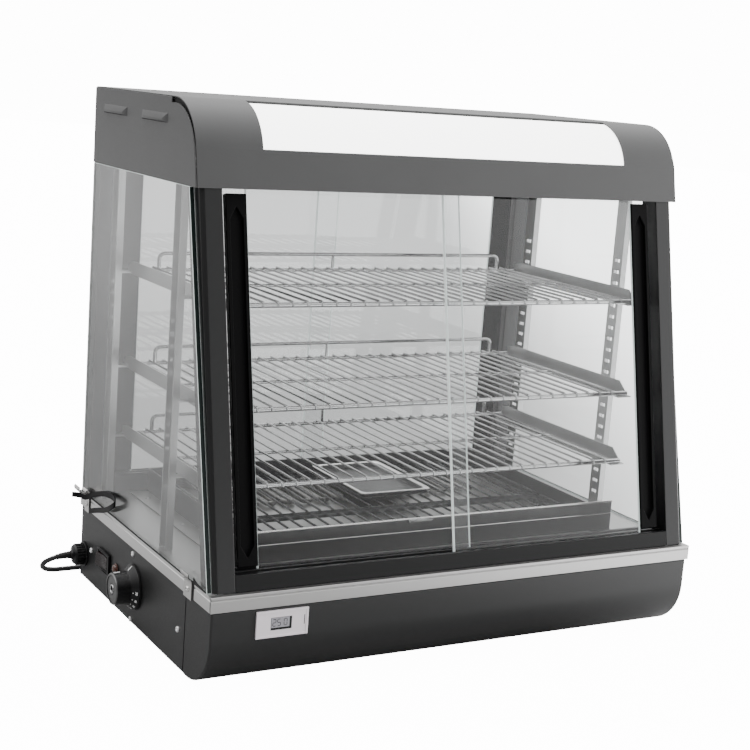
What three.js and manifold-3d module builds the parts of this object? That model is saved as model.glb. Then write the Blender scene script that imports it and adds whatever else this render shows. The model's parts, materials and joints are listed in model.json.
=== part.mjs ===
// Heated countertop food display case: black sheet-metal base and hood, leaning glass front,
// sliding glass doors front and rear, three wire shelves and a heater box with a water tray.
// Millimetres, +Z up. The case is drawn with x = 0 on its centre line, y = 0 at the front of
// the steel trim and z = 0 near the underside of its base, and one group then stands it on its feet.
import * as THREE from 'three';
import { mergeVertices } from 'three/addons/utils/BufferGeometryUtils.js';
import Module from 'manifold-3d';

const wasm = await Module();
wasm.setup();

// ---------------------------------------------------------------- driving dimensions
const CASE_W = 660;
const CASE_D = 434;
const STAND = 10;
const SHEET = 1.5;
const GAP = 0.3;
const HALF_W = CASE_W / 2;

// Base
const BASE_HALF = 328;
const BASE_TOP = 88.9;
const BASE_FRONT = 2;
const BASE_BOTTOM = -6.5;
const BASE_ROUND = 61.5;
const FOOT_H = STAND + BASE_BOTTOM;
const END_CAP_Y = 73;
const TRIM_Z0 = 89.2;
const TRIM_Z1 = 107.4;
const TRIM_FLANGE = 8;
const DECK_TOP = 107.2;
const FLOOR_Z = TRIM_Z1 + GAP;

// Leaning front frame
const LEAN = THREE.MathUtils.degToRad(12.2);
const FRONT_Y = 7.3;
const POST_IN = 298.5;
const POST_OUT = 323.6;
const POST_DEEP = 27;
const RAIL_TOP = 125.7;
const HOOD_Z0 = 534.8;
const HOOD_Z1 = 628.6;
const POST_TOP = 555;

// Doors: each pair runs in two grooves, the panes overlap in the middle
const PANE = 5;
const DOOR_LAP = 14;
const STILE_W = 25;
const STILE_T = 8.5;
const FRONT_STILE_IN = 263;
const OUTER_TRACK = 9;
const INNER_TRACK = 20;
const GROOVE = 7;

// Rear frame
const REAR_Y0 = 411;
const REAR_Y1 = 433.7;
const REAR_POST_IN = 297;
const REAR_SILL = 133;
const REAR_STILE_IN = 262;
const REAR_STILE_W = 30;
const REAR_TRACK_IN = 417.5;
const REAR_TRACK_OUT = 427.5;

// Side glass
const GLASS_IN = 324;
const GLASS_OUT = 329.8;

// Hood profile: leaning face, one arc, flat roof
const HOOD_FRONT_Y = 97.7;
const HOOD_R = 65.7;
const HOOD_ARC_Y = 171;
const WINDOW_HALF = 248.5;
const WINDOW_Z = 578;
const WINDOW_Y = 163;
const CEILING_Z = 556;

// Shelves, uprights and brackets
const UPRIGHT_IN = 305;
const UPRIGHT_OUT = 314;
const UPRIGHT_Y = [175, 380];
const SLOT_Z0 = 134;
const SLOT_PITCH = 15;
const SLOT_COUNT = 22;
const SHELF_SLOTS = [18, 10, 4];
const BRACKET_LIFT = 5.5;
const BRACKET_X = 289;
const BRACKET_H = 17;
const LEDGE_IN = 269;
const SHELF_FRONT = 104;
const SHELF_REAR = 380;
const SHELF_HALF = 285;
const SHELF_MIDDLE = 242;
const SIDE_ROD = 270;
const RUNG_HALF = 260;
const RUNG_COUNT = 29;
const RAIL_HALF = 253;
const RAIL_RISE = 21.5;
const FRAME_ROD = 6;
const RUNG = 3;

// Heater box, rack and water tray
const BOX_HALF = 245;
const BOX_FRONT = 87;
const BOX_REAR = 405;
const BOX_TOP = 140;
const RACK_HALF = 240;
const RACK_Z = 121.5;
const RACK_RODS = [92, 203, 217, 397];
const TRAY_X = [-19, 86];
const TRAY_Y = [240, 390];
const TRAY_H = 8;

// Controls on the left-hand side, at (y, z)
const PANEL_X = -BASE_HALF;
const DIAL = [234, 42];
const DIAL_R = 28;
const KNOB_R = 20.5;
const KNOB_L = 27;
const SKIRT_R = 27.5;
const SWITCH = [338, 41.5];
const LAMP = [295, 45];
const GLAND = [417, 26.5];

// Mains lead: out of the gland, over in one bend to the standing surface, then behind the case
const CORD_D = 6.6;
const LEAD_ROUTE = [
  [-346, 417, 26.5], [-350, 417, 26.5], [-356.9, 417.7, 25.9], [-363.3, 419.8, 24.3],
  [-368.8, 423.1, 21.7], [-373, 427.4, 18.2], [-375.7, 432.5, 14.3], [-376.6, 437.9, 10],
  [-375.7, 443.3, 5.7], [-373, 448.3, 1.8], [-368.8, 452.6, -1.7], [-363.3, 455.9, -4.3],
  [-356.9, 458, -5.9], [-350, 458.7, -6.5], [-335, 458.7, -6.5], [-310, 458.7, -6.5],
  [-285, 458.7, -6.5], [-255, 458.7, -6.5], [-225, 458.7, -6.5], [-184.2, 458.7, -6.5],
];
const LEAD_Y = 458.7;
const COIL_X = -160;
const COIL_R = 36.5;
const COIL_Y = LEAD_Y + COIL_R + CORD_D;
const PLUG_X = -187;
const PLUG_Y = COIL_Y + COIL_R + CORD_D;
const PLUG_Z = 0.2;

// ---------------------------------------------------------------- geometry helpers
const BASIS = {
  x: [new THREE.Vector3(0, 1, 0), new THREE.Vector3(0, 0, 1), new THREE.Vector3(1, 0, 0)],
  y: [new THREE.Vector3(0, 0, 1), new THREE.Vector3(1, 0, 0), new THREE.Vector3(0, 1, 0)],
  z: [new THREE.Vector3(1, 0, 0), new THREE.Vector3(0, 1, 0), new THREE.Vector3(0, 0, 1)],
};

function solid(source) {
  const bare = source.index ? source.clone() : mergeVertices(source);
  bare.deleteAttribute('normal');
  bare.deleteAttribute('uv');
  const merged = mergeVertices(bare, 1e-4);
  const vertProperties = new Float32Array(merged.attributes.position.array);
  const triVerts = new Uint32Array(merged.index.array);
  return new wasm.Manifold(new wasm.Mesh({ numProp: 3, vertProperties, triVerts }));
}

function geometryOf(manifold) {
  const mesh = manifold.getMesh();
  const geometry = new THREE.BufferGeometry();
  geometry.setAttribute('position', new THREE.BufferAttribute(mesh.vertProperties, 3));
  geometry.setIndex(new THREE.BufferAttribute(mesh.triVerts, 1));
  return geometry;
}

const add = (...parts) => parts.reduce((sum, part) => sum.add(part));
const cut = (body, ...tools) => tools.reduce((left, tool) => left.subtract(tool), body);

// A solid cuboid between two x, two y and two z values.
function block(x0, x1, y0, y1, z0, z1) {
  const box = new THREE.BoxGeometry(x1 - x0, y1 - y0, z1 - z0);
  return solid(box.translate((x0 + x1) / 2, (y0 + y1) / 2, (z0 + z1) / 2));
}

// An outline swept along one axis: points are (y, z) along x, (z, x) along y, (x, y) along z.
function prism(axis, outline, from, to) {
  const shape = outline instanceof THREE.Shape ? outline : new THREE.Shape(
    outline.map(([a, b]) => new THREE.Vector2(a, b)));
  const options = { depth: to - from, bevelEnabled: false, curveSegments: 10 };
  const geometry = new THREE.ExtrudeGeometry(shape, options).translate(0, 0, from);
  return solid(geometry.applyMatrix4(new THREE.Matrix4().makeBasis(...BASIS[axis])));
}

// A straight round bar between two points.
function bar(from, to, radius, sides = 6) {
  const a = new THREE.Vector3(...from);
  const b = new THREE.Vector3(...to);
  const geometry = new THREE.CylinderGeometry(radius, radius, a.distanceTo(b), sides);
  const turn = new THREE.Quaternion().setFromUnitVectors(
    new THREE.Vector3(0, 1, 0), b.clone().sub(a).normalize());
  geometry.applyQuaternion(turn);
  return solid(geometry.translate(...a.add(b).multiplyScalar(0.5)));
}

// A turned piece on an axis along -x: profile points are (radius, distance out from the panel).
function turned(profile, [y, z], segments = 32) {
  const points = profile.map(([r, out]) => new THREE.Vector2(r, out));
  const geometry = new THREE.LatheGeometry(points, segments);
  geometry.rotateZ(Math.PI / 2);
  return solid(geometry.translate(PANEL_X, y, z));
}

// A round bar bent along a smooth route.
function bentBar(points, radius, steps, sides = 6, tension = 0.5) {
  const route = points.map((p) => new THREE.Vector3(...p));
  const path = new THREE.CatmullRomCurve3(route, false, 'catmullrom', tension);
  const ring = new THREE.EllipseCurve(0, 0, radius, radius).getPoints(sides).slice(0, sides);
  const options = { steps, extrudePath: path, bevelEnabled: false };
  return solid(new THREE.ExtrudeGeometry(new THREE.Shape(ring), options));
}

// The leaning frame's own coordinates: v goes back from its face, w runs up its slope.
function lean(body) {
  const turn = new THREE.Matrix4().makeRotationX(-LEAN);
  const place = new THREE.Matrix4().makeTranslation(0, FRONT_Y, FLOOR_Z).multiply(turn);
  return body.transform(place.toArray());
}

const clipZ = (body, z0, z1) => body.intersect(block(-500, 500, -200, 800, z0, z1));

// ---------------------------------------------------------------- materials
const FINISH = {
  blackSheet: { color: 0x242424, roughness: 0.55, metalness: 0.3 },
  steel: { color: 0xc9c9c6, roughness: 0.35, metalness: 1 },
  chrome: { color: 0xd8d8d8, roughness: 0.15, metalness: 1 },
  glass: { color: 0xe8f0ee, roughness: 0.03, metalness: 0, transparent: true, opacity: 0.25 },
  diffuser: { color: 0xf4f5f2, roughness: 0.5, metalness: 0 },
  blackPlastic: { color: 0x151515, roughness: 0.45, metalness: 0 },
  whitePlastic: { color: 0xe9dfe6, roughness: 0.35, metalness: 0 },
  rubber: { color: 0x0e0e0e, roughness: 0.85, metalness: 0 },
  redLens: { color: 0xb5432a, roughness: 0.2, metalness: 0 },
};

const model = new THREE.Group();
const displayCase = new THREE.Group();
model.add(displayCase);

function part(name, finish, body) {
  const plain = body.asOriginal().simplify(0.002);
  const mesh = new THREE.Mesh(geometryOf(plain), new THREE.MeshStandardMaterial(FINISH[finish]));
  mesh.name = name;
  displayCase.add(mesh);
}

const SIDES = [['left', -1], ['right', 1]];

// A span of x values on one side of the case, always in rising order.
const span = (side, near, far) => (side < 0 ? [-far, -near] : [near, far]);

// ---------------------------------------------------------------- base
function baseProfile(inset) {
  const shape = new THREE.Shape();
  const front = BASE_FRONT + inset;
  shape.moveTo(front, BASE_TOP);
  const centre = BASE_BOTTOM + BASE_ROUND;
  shape.lineTo(front, centre);
  shape.absarc(BASE_FRONT + BASE_ROUND, centre, BASE_ROUND - inset, Math.PI, 1.5 * Math.PI);
  return shape;
}

function baseShell() {
  const outer = baseProfile(0);
  outer.lineTo(REAR_Y1, BASE_BOTTOM);
  outer.lineTo(REAR_Y1, BASE_TOP);
  const inner = baseProfile(SHEET);
  inner.lineTo(REAR_Y1 - SHEET, BASE_BOTTOM + SHEET);
  inner.lineTo(REAR_Y1 - SHEET, BASE_TOP);
  const wrap = prism('x', outer, -BASE_HALF, BASE_HALF);
  const hollow = prism('x', inner, -BASE_HALF - 1, BASE_HALF + 1);
  const cap = baseProfile(0.5);
  cap.lineTo(END_CAP_Y, BASE_BOTTOM + 0.5);
  cap.lineTo(END_CAP_Y, BASE_TOP);
  const caps = SIDES.map(([, side]) => prism('x', cap, ...span(side, BASE_HALF - SHEET, BASE_HALF)));
  const display = block(-270, -217, 0, 10, 59, 81);
  const vents = [];
  for (let i = 0; i < 8; i += 1) {
    vents.push(block(-200 + i * 50, -170 + i * 50, REAR_Y1 - 4, REAR_Y1 + 1, 40, 46));
  }
  return cut(add(wrap.subtract(hollow), ...caps), display, ...vents);
}

function sidePlate(side) {
  return block(...span(side, BASE_HALF - SHEET, BASE_HALF), END_CAP_Y + 0.6, REAR_Y1 - 2,
    BASE_BOTTOM + SHEET + GAP, BASE_TOP);
}

function controlPanel() {
  const hole = (r, at) => turned([[0, -4], [r, -4], [r, 4], [0, 4]], at, 24);
  const switchHole = block(PANEL_X - 2, PANEL_X + 4, SWITCH[0] - 19.5, SWITCH[0] + 19.5,
    SWITCH[1] - 11.5, SWITCH[1] + 11.5);
  return cut(sidePlate(-1), hole(10.5, GLAND), hole(5.2, LAMP), hole(4.6, DIAL), switchHole);
}

function sideCover() {
  const slots = [];
  for (let i = 0; i < 6; i += 1) {
    slots.push(block(BASE_HALF - 4, BASE_HALF + 2, 150 + i * 40, 175 + i * 40, 44, 49));
  }
  return cut(sidePlate(1), ...slots);
}

function trimStrip() {
  const outer = block(-HALF_W, HALF_W, 0, CASE_D, TRIM_Z0, TRIM_Z1);
  const wall = SHEET;
  const under = block(-HALF_W + wall, HALF_W - wall, wall, CASE_D - wall, TRIM_Z0 - 1, TRIM_Z1 - 1.4);
  const mouth = block(-HALF_W + TRIM_FLANGE, HALF_W - TRIM_FLANGE, TRIM_FLANGE,
    CASE_D - 2, TRIM_Z0 - 1, TRIM_Z1 + 1);
  return cut(outer, under, mouth);
}

function foot(x, y) {
  const points = [[0, 0], [13.5, 0], [15, 1.5], [16, FOOT_H - GAP], [0, FOOT_H - GAP]];
  const profile = points.map(([r, z]) => new THREE.Vector2(r, z));
  const geometry = new THREE.LatheGeometry(profile, 20).rotateX(Math.PI / 2);
  return solid(geometry.translate(x, y, -STAND));
}

part('base_shell', 'blackSheet', baseShell());
part('control_panel', 'blackSheet', controlPanel());
part('side_cover', 'blackSheet', sideCover());
part('trim_strip', 'steel', trimStrip());
part('deck', 'steel', block(-HALF_W + TRIM_FLANGE + GAP, HALF_W - TRIM_FLANGE - GAP,
  TRIM_FLANGE + GAP, CASE_D - 2 - GAP, DECK_TOP - SHEET, DECK_TOP));
for (const [end, y] of [['front', 105], ['rear', 380]]) {
  for (const [name, side] of SIDES) part(`foot_${end}_${name}`, 'rubber', foot(side * 270, y));
}
part('thermometer', 'whitePlastic', add(
  block(-275, -212, BASE_FRONT - 2.8, BASE_FRONT - GAP, 54.5, 85.3),
  block(-269, -218, BASE_FRONT - 1, 18, 60, 80)));

// ---------------------------------------------------------------- leaning front frame
const grooveAt = (v, w0, w1) => block(-400, 400, v - GROOVE / 2, v + GROOVE / 2, w0, w1);

function frontPost(side) {
  const [x0, x1] = span(side, POST_IN, POST_OUT);
  const bevel = 4;
  const [inner, outer] = side < 0 ? [x1, x0] : [x0, x1];
  const outline = [[inner, 0], [outer - side * bevel, 0], [outer, bevel], [outer, POST_DEEP],
    [outer - side * SHEET, POST_DEEP], [outer - side * SHEET, bevel + 1],
    [outer - side * (bevel + 1), SHEET], [inner + side * SHEET, SHEET],
    [inner + side * SHEET, POST_DEEP], [inner, POST_DEEP]];
  const ordered = side < 0 ? outline.reverse() : outline;
  return clipZ(lean(prism('z', ordered, -30, 500)), FLOOR_Z, POST_TOP);
}

function frontTrack() {
  const body = block(-POST_IN + GAP, POST_IN - GAP, 0, POST_DEEP + 1, -30, 60);
  const grooves = [OUTER_TRACK, INNER_TRACK].map((v) => grooveAt(v, 6.5, 80));
  return clipZ(cut(lean(body), ...grooves.map(lean)), FLOOR_Z, RAIL_TOP);
}

for (const [name, side] of SIDES) part(`front_post_${name}`, 'blackSheet', frontPost(side));
part('front_track', 'blackSheet', frontTrack());

// ---------------------------------------------------------------- rear frame
function rearPost(side) {
  const [x0, x1] = span(side, REAR_POST_IN, POST_OUT);
  const shell = block(x0, x1, REAR_Y0, REAR_Y1, FLOOR_Z, HOOD_Z0 - GAP);
  const open = side < 0 ? [x0 - 1, x1 - SHEET] : [x0 + SHEET, x1 + 1];
  return shell.subtract(block(...open, REAR_Y0 + SHEET, REAR_Y1 - SHEET, FLOOR_Z - 1, HOOD_Z0));
}

function rearTrack() {
  const x = REAR_POST_IN - GAP;
  const body = block(-x, x, REAR_Y0, REAR_Y1, FLOOR_Z, REAR_SILL);
  const groove = (y) => block(-400, 400, y - GROOVE / 2, y + GROOVE / 2, REAR_SILL - 14, 200);
  return cut(body, groove(REAR_TRACK_IN), groove(REAR_TRACK_OUT));
}

for (const [name, side] of SIDES) part(`rear_post_${name}`, 'blackSheet', rearPost(side));
part('rear_track', 'blackSheet', rearTrack());

// ---------------------------------------------------------------- side glass
function sideGlass(side) {
  const outline = [[12.9, FLOOR_Z], [431, FLOOR_Z], [431, HOOD_Z0 - GAP], [117, HOOD_Z0 - GAP]];
  return prism('x', outline, ...span(side, GLASS_IN, GLASS_OUT));
}

for (const [name, side] of SIDES) part(`side_glass_${name}`, 'glass', sideGlass(side));

// ---------------------------------------------------------------- doors
// A finger pull: a long recess with pointed ends, sunk into the stile's outer face.
function pullTool(x, half, depthFrom, depthTo, low, high) {
  const outline = [[low, x], [low + 14, x + half], [high - 14, x + half], [high, x],
    [high - 14, x - half], [low + 14, x - half]];
  return prism('y', outline, depthFrom, depthTo);
}

function frontPane(side, v) {
  const x = span(side, -DOOR_LAP, FRONT_STILE_IN - GAP);
  return lean(block(...x, v - PANE / 2, v + PANE / 2, 7.5, 454));
}

function frontStile(side, v) {
  const x = span(side, FRONT_STILE_IN, FRONT_STILE_IN + STILE_W);
  const face = v - STILE_T / 2;
  const body = block(...x, face, v + STILE_T / 2, 24.5, 434);
  const middle = side * (FRONT_STILE_IN + STILE_W / 2);
  return lean(body.subtract(pullTool(middle, 8, face - 1, face + 5, 34, 420)));
}

function rearPane(side, y, near) {
  const x = span(side, near, REAR_STILE_IN - GAP);
  return block(...x, y - PANE / 2, y + PANE / 2, REAR_SILL - 13, 552);
}

function rearStile(side, y) {
  const x = span(side, REAR_STILE_IN, REAR_STILE_IN + REAR_STILE_W);
  const face = y + STILE_T / 2;
  const body = block(...x, y - STILE_T / 2, face, REAR_SILL + 1, 538);
  const middle = side * (REAR_STILE_IN + REAR_STILE_W / 2);
  return body.subtract(pullTool(middle, 8, face - 5, face + 1, 160, 520));
}

part('front_right_glass', 'glass', frontPane(1, OUTER_TRACK));
part('front_right_stile', 'blackPlastic', frontStile(1, OUTER_TRACK));
part('front_left_glass', 'glass', frontPane(-1, INNER_TRACK));
part('front_left_stile', 'blackPlastic', frontStile(-1, INNER_TRACK));
part('rear_right_glass', 'glass', rearPane(1, REAR_TRACK_IN, -20));
part('rear_right_stile', 'blackPlastic', rearStile(1, REAR_TRACK_IN));
part('rear_left_glass', 'glass', rearPane(-1, REAR_TRACK_OUT, -16));
part('rear_left_stile', 'blackPlastic', rearStile(-1, REAR_TRACK_OUT));

// ---------------------------------------------------------------- hood
// The leaning face runs up to where the arc takes over, then the arc ends level with the roof.
function hoodFace(shape, inset) {
  const centreZ = HOOD_Z1 - HOOD_R;
  const shift = inset / Math.cos(LEAN);
  shape.moveTo(HOOD_FRONT_Y + shift, HOOD_Z0);
  shape.absarc(HOOD_ARC_Y, centreZ, HOOD_R - inset, Math.PI - LEAN, Math.PI / 2, true);
}

function hoodProfile(inset) {
  const shape = new THREE.Shape();
  hoodFace(shape, inset);
  shape.lineTo(REAR_Y1 - inset, HOOD_Z1 - inset);
  shape.lineTo(REAR_Y1 - inset, HOOD_Z0);
  return shape;
}

function hoodSheet() {
  const x = HALF_W - SHEET - GAP;
  const skin = prism('x', hoodProfile(0), -x, x).subtract(
    prism('x', hoodProfile(SHEET), -HALF_W, HALF_W));
  const window = block(-WINDOW_HALF, WINDOW_HALF, 60, WINDOW_Y, WINDOW_Z, HOOD_Z1 + 5);
  const vents = [];
  for (let i = 0; i < 6; i += 1) {
    vents.push(block(-175 + i * 60, -135 + i * 60, REAR_Y1 - 4, REAR_Y1 + 1, 590, 596));
  }
  return cut(skin, window, ...vents);
}

function hoodSide(side) {
  const plate = prism('x', hoodProfile(1.2), ...span(side, HALF_W - SHEET, HALF_W));
  const louvre = (y0, y1) => block(side * HALF_W - 4, side * HALF_W + 4, y0, y1, 600, 604);
  return cut(plate, louvre(187, 268), louvre(317, 398));
}

function diffuser() {
  const ring = (r0, r1, from) => {
    const shape = new THREE.Shape();
    const centreZ = HOOD_Z1 - HOOD_R;
    shape.absarc(HOOD_ARC_Y, centreZ, r1, Math.PI, Math.PI / 2, true);
    shape.absarc(HOOD_ARC_Y, centreZ, r0, Math.PI / 2, Math.PI, false);
    return prism('x', shape, -from, from);
  };
  return ring(HOOD_R - 4.8, HOOD_R - SHEET - GAP, WINDOW_HALF + 14);
}

function ceilingPanel() {
  const x = UPRIGHT_OUT + 8;
  const front = lean(cut(block(-x, x, 1, POST_DEEP + 1, 444, 464),
    grooveAt(OUTER_TRACK, 440, 456), grooveAt(INNER_TRACK, 440, 456)));
  const groove = (y) => block(-400, 400, y - GROOVE / 2, y + GROOVE / 2, 500, 554);
  const rear = cut(block(-x, x, REAR_Y0, REAR_Y1 - SHEET - GAP, 541, CEILING_Z + 2),
    groove(REAR_TRACK_IN), groove(REAR_TRACK_OUT));
  const plate = block(-x, x, 126, REAR_Y1 - SHEET - GAP, CEILING_Z, CEILING_Z + 2);
  const notch = SIDES.map(([, side]) => [
    lean(block(...span(side, POST_IN - GAP, 400), -1, POST_DEEP + 0.6, 430, 470)),
    block(...span(side, REAR_POST_IN - GAP, 400), REAR_Y0 - GAP, 500, 530, 600)]).flat();
  return cut(add(front, rear, plate), ...notch, block(-230, 230, 180, 300, 550, 560));
}

function lampFixture() {
  const [y, z] = [172, 586];
  const tube = bar([-225, y, z], [225, y, z], 8, 12);
  const holders = [-1, 1].map((side) => block(...span(side, 222, 236), y - 12, y + 12,
    CEILING_Z + 2 + GAP, z + 12));
  const tray = block(-236, 236, y - 14, y + 5, CEILING_Z + 2 + GAP, CEILING_Z + 4);
  return add(tube, tray, ...holders);
}

part('hood_sheet', 'blackSheet', hoodSheet());
for (const [name, side] of SIDES) part(`hood_side_${name}`, 'blackSheet', hoodSide(side));
part('diffuser', 'diffuser', diffuser());
part('ceiling_panel', 'steel', ceilingPanel());
part('lamp_fixture', 'diffuser', lampFixture());

// ---------------------------------------------------------------- uprights and brackets
function upright(side, y) {
  const [x0, x1] = span(side, UPRIGHT_IN, UPRIGHT_OUT);
  const body = block(x0, x1, y - 10, y + 10, FLOOR_Z, CEILING_Z - GAP);
  const hollow = side < 0 ? [x0 - 1, x1 - SHEET] : [x0 + SHEET, x1 + 1];
  const tools = [block(...hollow, y - 10 + SHEET, y + 10 - SHEET, 0, 700)];
  for (let i = 0; i < SLOT_COUNT; i += 1) {
    const z = SLOT_Z0 + i * SLOT_PITCH;
    tools.push(block(...span(side, UPRIGHT_IN - 1, UPRIGHT_IN + 3), y - 5, y + 5, z - 2.2, z + 2.2));
  }
  return cut(body, ...tools);
}

const slotZ = (slot) => SLOT_Z0 + slot * SLOT_PITCH;

// The middle of a bracket's plate, a little above the slot that its hooks sit in.
const bracketZ = (slot) => slotZ(slot) + BRACKET_LIFT;

function bracket(side, slot) {
  const z = bracketZ(slot);
  const low = z - BRACKET_H / 2;
  const outline = [[112, low], [372, low], [386, z - 5], [386, z + 5], [372, low + BRACKET_H],
    [125, low + BRACKET_H], [112, low + 6]];
  const plate = prism('x', outline, ...span(side, BRACKET_X, BRACKET_X + SHEET));
  const ledge = block(...span(side, LEDGE_IN, BRACKET_X + SHEET), 100, 372, low, low + SHEET);
  const hooks = UPRIGHT_Y.map((y) => block(...span(side, BRACKET_X, UPRIGHT_IN + 4),
    y - 4, y + 4, slotZ(slot) - 1.6, slotZ(slot) + 1.6));
  return add(plate, ledge, ...hooks);
}

for (const [end, y] of [['front', UPRIGHT_Y[0]], ['rear', UPRIGHT_Y[1]]]) {
  for (const [name, side] of SIDES) part(`upright_${end}_${name}`, 'steel', upright(side, y));
}
SHELF_SLOTS.forEach((slot, i) => {
  for (const [name, side] of SIDES) part(`bracket_${i + 1}_${name}`, 'steel', bracket(side, slot));
});

// ---------------------------------------------------------------- wire shelves
// Rungs run front to back on top of rods that run left to right.
function wireGrid(half, count, y0, y1, z) {
  const step = (2 * half) / (count - 1);
  const bars = [];
  for (let i = 0; i < count; i += 1) {
    const x = -half + i * step;
    bars.push(block(x - RUNG / 2, x + RUNG / 2, y0, y1, z - RUNG / 2, z + RUNG / 2));
  }
  return bars;
}

// A rod of radius r whose top is at z, of square section.
const crossRod = (y, half, r, z) => block(-half, half, y - r, y + r, z - 2 * r, z);

function shelf(slot) {
  const rodZ = bracketZ(slot) - BRACKET_H / 2 + SHEET + GAP + FRAME_ROD / 2;
  const rungZ = rodZ + FRAME_ROD / 2 + RUNG / 2 - 0.8;
  const bite = 0.8;
  const across = (y, half, r) => crossRod(y, half, r, rungZ - RUNG / 2 + bite);
  const rods = [across(SHELF_FRONT, SHELF_HALF, FRAME_ROD / 2),
    across(SHELF_MIDDLE, SIDE_ROD + 1, 2), across(SHELF_REAR, SHELF_HALF, 2.5)];
  const rungs = wireGrid(RUNG_HALF, RUNG_COUNT, SHELF_FRONT - 1, SHELF_REAR + 1, rungZ);
  const side = [-1, 1].map((s) => block(s * SIDE_ROD - 2.5, s * SIDE_ROD + 2.5,
    SHELF_FRONT, SHELF_REAR, rodZ - 2.5, rodZ + 2.5));
  const top = rodZ + RAIL_RISE;
  const rail = bentBar([[-RAIL_HALF, SHELF_REAR, rodZ], [-RAIL_HALF, SHELF_REAR, top - 8],
    [-RAIL_HALF + 2.5, SHELF_REAR, top - 2.5], [-RAIL_HALF + 8, SHELF_REAR, top],
    [RAIL_HALF - 8, SHELF_REAR, top], [RAIL_HALF - 2.5, SHELF_REAR, top - 2.5],
    [RAIL_HALF, SHELF_REAR, top - 8], [RAIL_HALF, SHELF_REAR, rodZ]], 2.5, 14, 6, 0);
  return add(...rods, ...side, ...rungs, rail);
}

SHELF_SLOTS.forEach((slot, i) => part(`shelf_${i + 1}`, 'chrome', shelf(slot)));

// ---------------------------------------------------------------- heater box, rack, tray
function heaterBox() {
  const z0 = FLOOR_Z;
  const floor = block(-LEDGE_IN, LEDGE_IN, BOX_FRONT, BOX_REAR, z0, z0 + SHEET);
  const lip = block(-235, 235, 60, BOX_FRONT + 1, z0, z0 + SHEET);
  const front = block(-267, 267, BOX_FRONT, BOX_FRONT + SHEET, z0, 145);
  const rear = block(-BOX_HALF, BOX_HALF, BOX_REAR - SHEET, BOX_REAR, z0, BOX_TOP);
  const walls = [-1, 1].map((side) => block(...span(side, BOX_HALF - SHEET, BOX_HALF),
    BOX_FRONT, BOX_REAR, z0, BOX_TOP));
  return add(floor, lip, front, rear, ...walls);
}

function bottomRack() {
  const across = RACK_RODS.map((y) => crossRod(y, RACK_HALF, 2.5, RACK_Z + 2.5));
  const rungs = wireGrid(RACK_HALF - 2, 27, 91, 398, RACK_Z + 3.2);
  const legs = [];
  for (const x of [-RACK_HALF + 2, RACK_HALF - 2]) {
    for (const y of [92, 397]) legs.push(bar([x, y, FLOOR_Z + SHEET + GAP], [x, y, RACK_Z], 2.4));
  }
  return add(...across, ...rungs, ...legs);
}

function waterTray() {
  const z0 = RACK_Z + 3.2 + RUNG / 2 + GAP;
  const z1 = z0 + TRAY_H;
  const [x0, x1] = TRAY_X;
  const [y0, y1] = TRAY_Y;
  const rim = block(x0, x1, y0, y1, z1 - SHEET, z1);
  const body = block(x0 + 6, x1 - 6, y0 + 6, y1 - 6, z0, z1);
  return add(rim, body).subtract(block(x0 + 7, x1 - 7, y0 + 7, y1 - 7, z0 + 1, z1 + 1));
}

function heatingElement() {
  const z = FLOOR_Z + SHEET + 5;
  const route = [[200, 390, z], [200, 130, z], [170, 110, z], [140, 130, z], [140, 350, z],
    [105, 372, z], [70, 350, z], [70, 130, z], [35, 110, z], [0, 130, z], [0, 350, z],
    [-35, 372, z], [-70, 350, z], [-70, 130, z], [-105, 110, z], [-140, 130, z],
    [-140, 350, z], [-170, 372, z], [-200, 350, z], [-200, 110, z]];
  return bentBar(route, 3.6, 64, 5, 0.35);
}

part('heater_box', 'steel', heaterBox());
part('bottom_rack', 'chrome', bottomRack());
part('water_tray', 'steel', waterTray());
part('heating_element', 'blackSheet', heatingElement());

// ---------------------------------------------------------------- controls
function thermostat() {
  const [y, z] = DIAL;
  const body = block(PANEL_X + SHEET + GAP, PANEL_X + 34, y - 20, y + 20, z - 20, z + 20);
  const disc = turned([[0, -3], [4.2, -3], [4.2, GAP], [DIAL_R, GAP], [DIAL_R, 1.3],
    [3, 1.3], [3, 16], [0, 16]], DIAL, 28);
  return add(body, disc);
}

function knob() {
  const face = KNOB_L + 1.8;
  return turned([[3.4, 1.8], [SKIRT_R, 1.8], [SKIRT_R, 3.4], [KNOB_R, 9.5], [KNOB_R - 0.8, face - 2],
    [KNOB_R - 2.5, face], [0, face], [0, 18], [3.4, 18], [3.4, 1.8]], DIAL, 28);
}

function switchBody() {
  const [y, z] = SWITCH;
  const frame = block(PANEL_X - 3.6, PANEL_X - GAP, y - 22, y + 22, z - 13.5, z + 13.5);
  const inside = block(PANEL_X - 1, PANEL_X + 24, y - 19, y + 19, z - 11, z + 11);
  const cavity = block(PANEL_X - 5, PANEL_X + 9, y - 17, y + 17, z - 9.5, z + 9.5);
  return add(frame, inside).subtract(cavity);
}

// The rocker's end nearer the front is pressed in.
function rocker() {
  const [y, z] = SWITCH;
  const outline = [[-3, -14.5], [-3, 14.5], [7, 15], [4.6, 0], [7, -15]];
  const shape = outline.map(([out, along]) => [-out, along]);
  const geometry = prism('z', shape.reverse(), -8.6, 8.6);
  const turn = new THREE.Matrix4().makeRotationZ(THREE.MathUtils.degToRad(8));
  const place = new THREE.Matrix4().makeTranslation(PANEL_X + 1, y, z).multiply(turn);
  return geometry.transform(place.toArray());
}

const indicatorLamp = turned([[0, -16], [4.8, -16], [4.8, GAP], [6.6, GAP], [6.6, 1.6],
  [5.4, 3.6], [2.8, 5], [0, 5.4]], LAMP, 20);

const gland = turned([[0, -10], [10, -10], [10, GAP], [14, GAP], [14, 2.6], [12, 2.8],
  [12, 13.5], [10.5, 15.5], [7, 16], [6, 17.6], [0, 17.6]], GLAND, 24);

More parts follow.
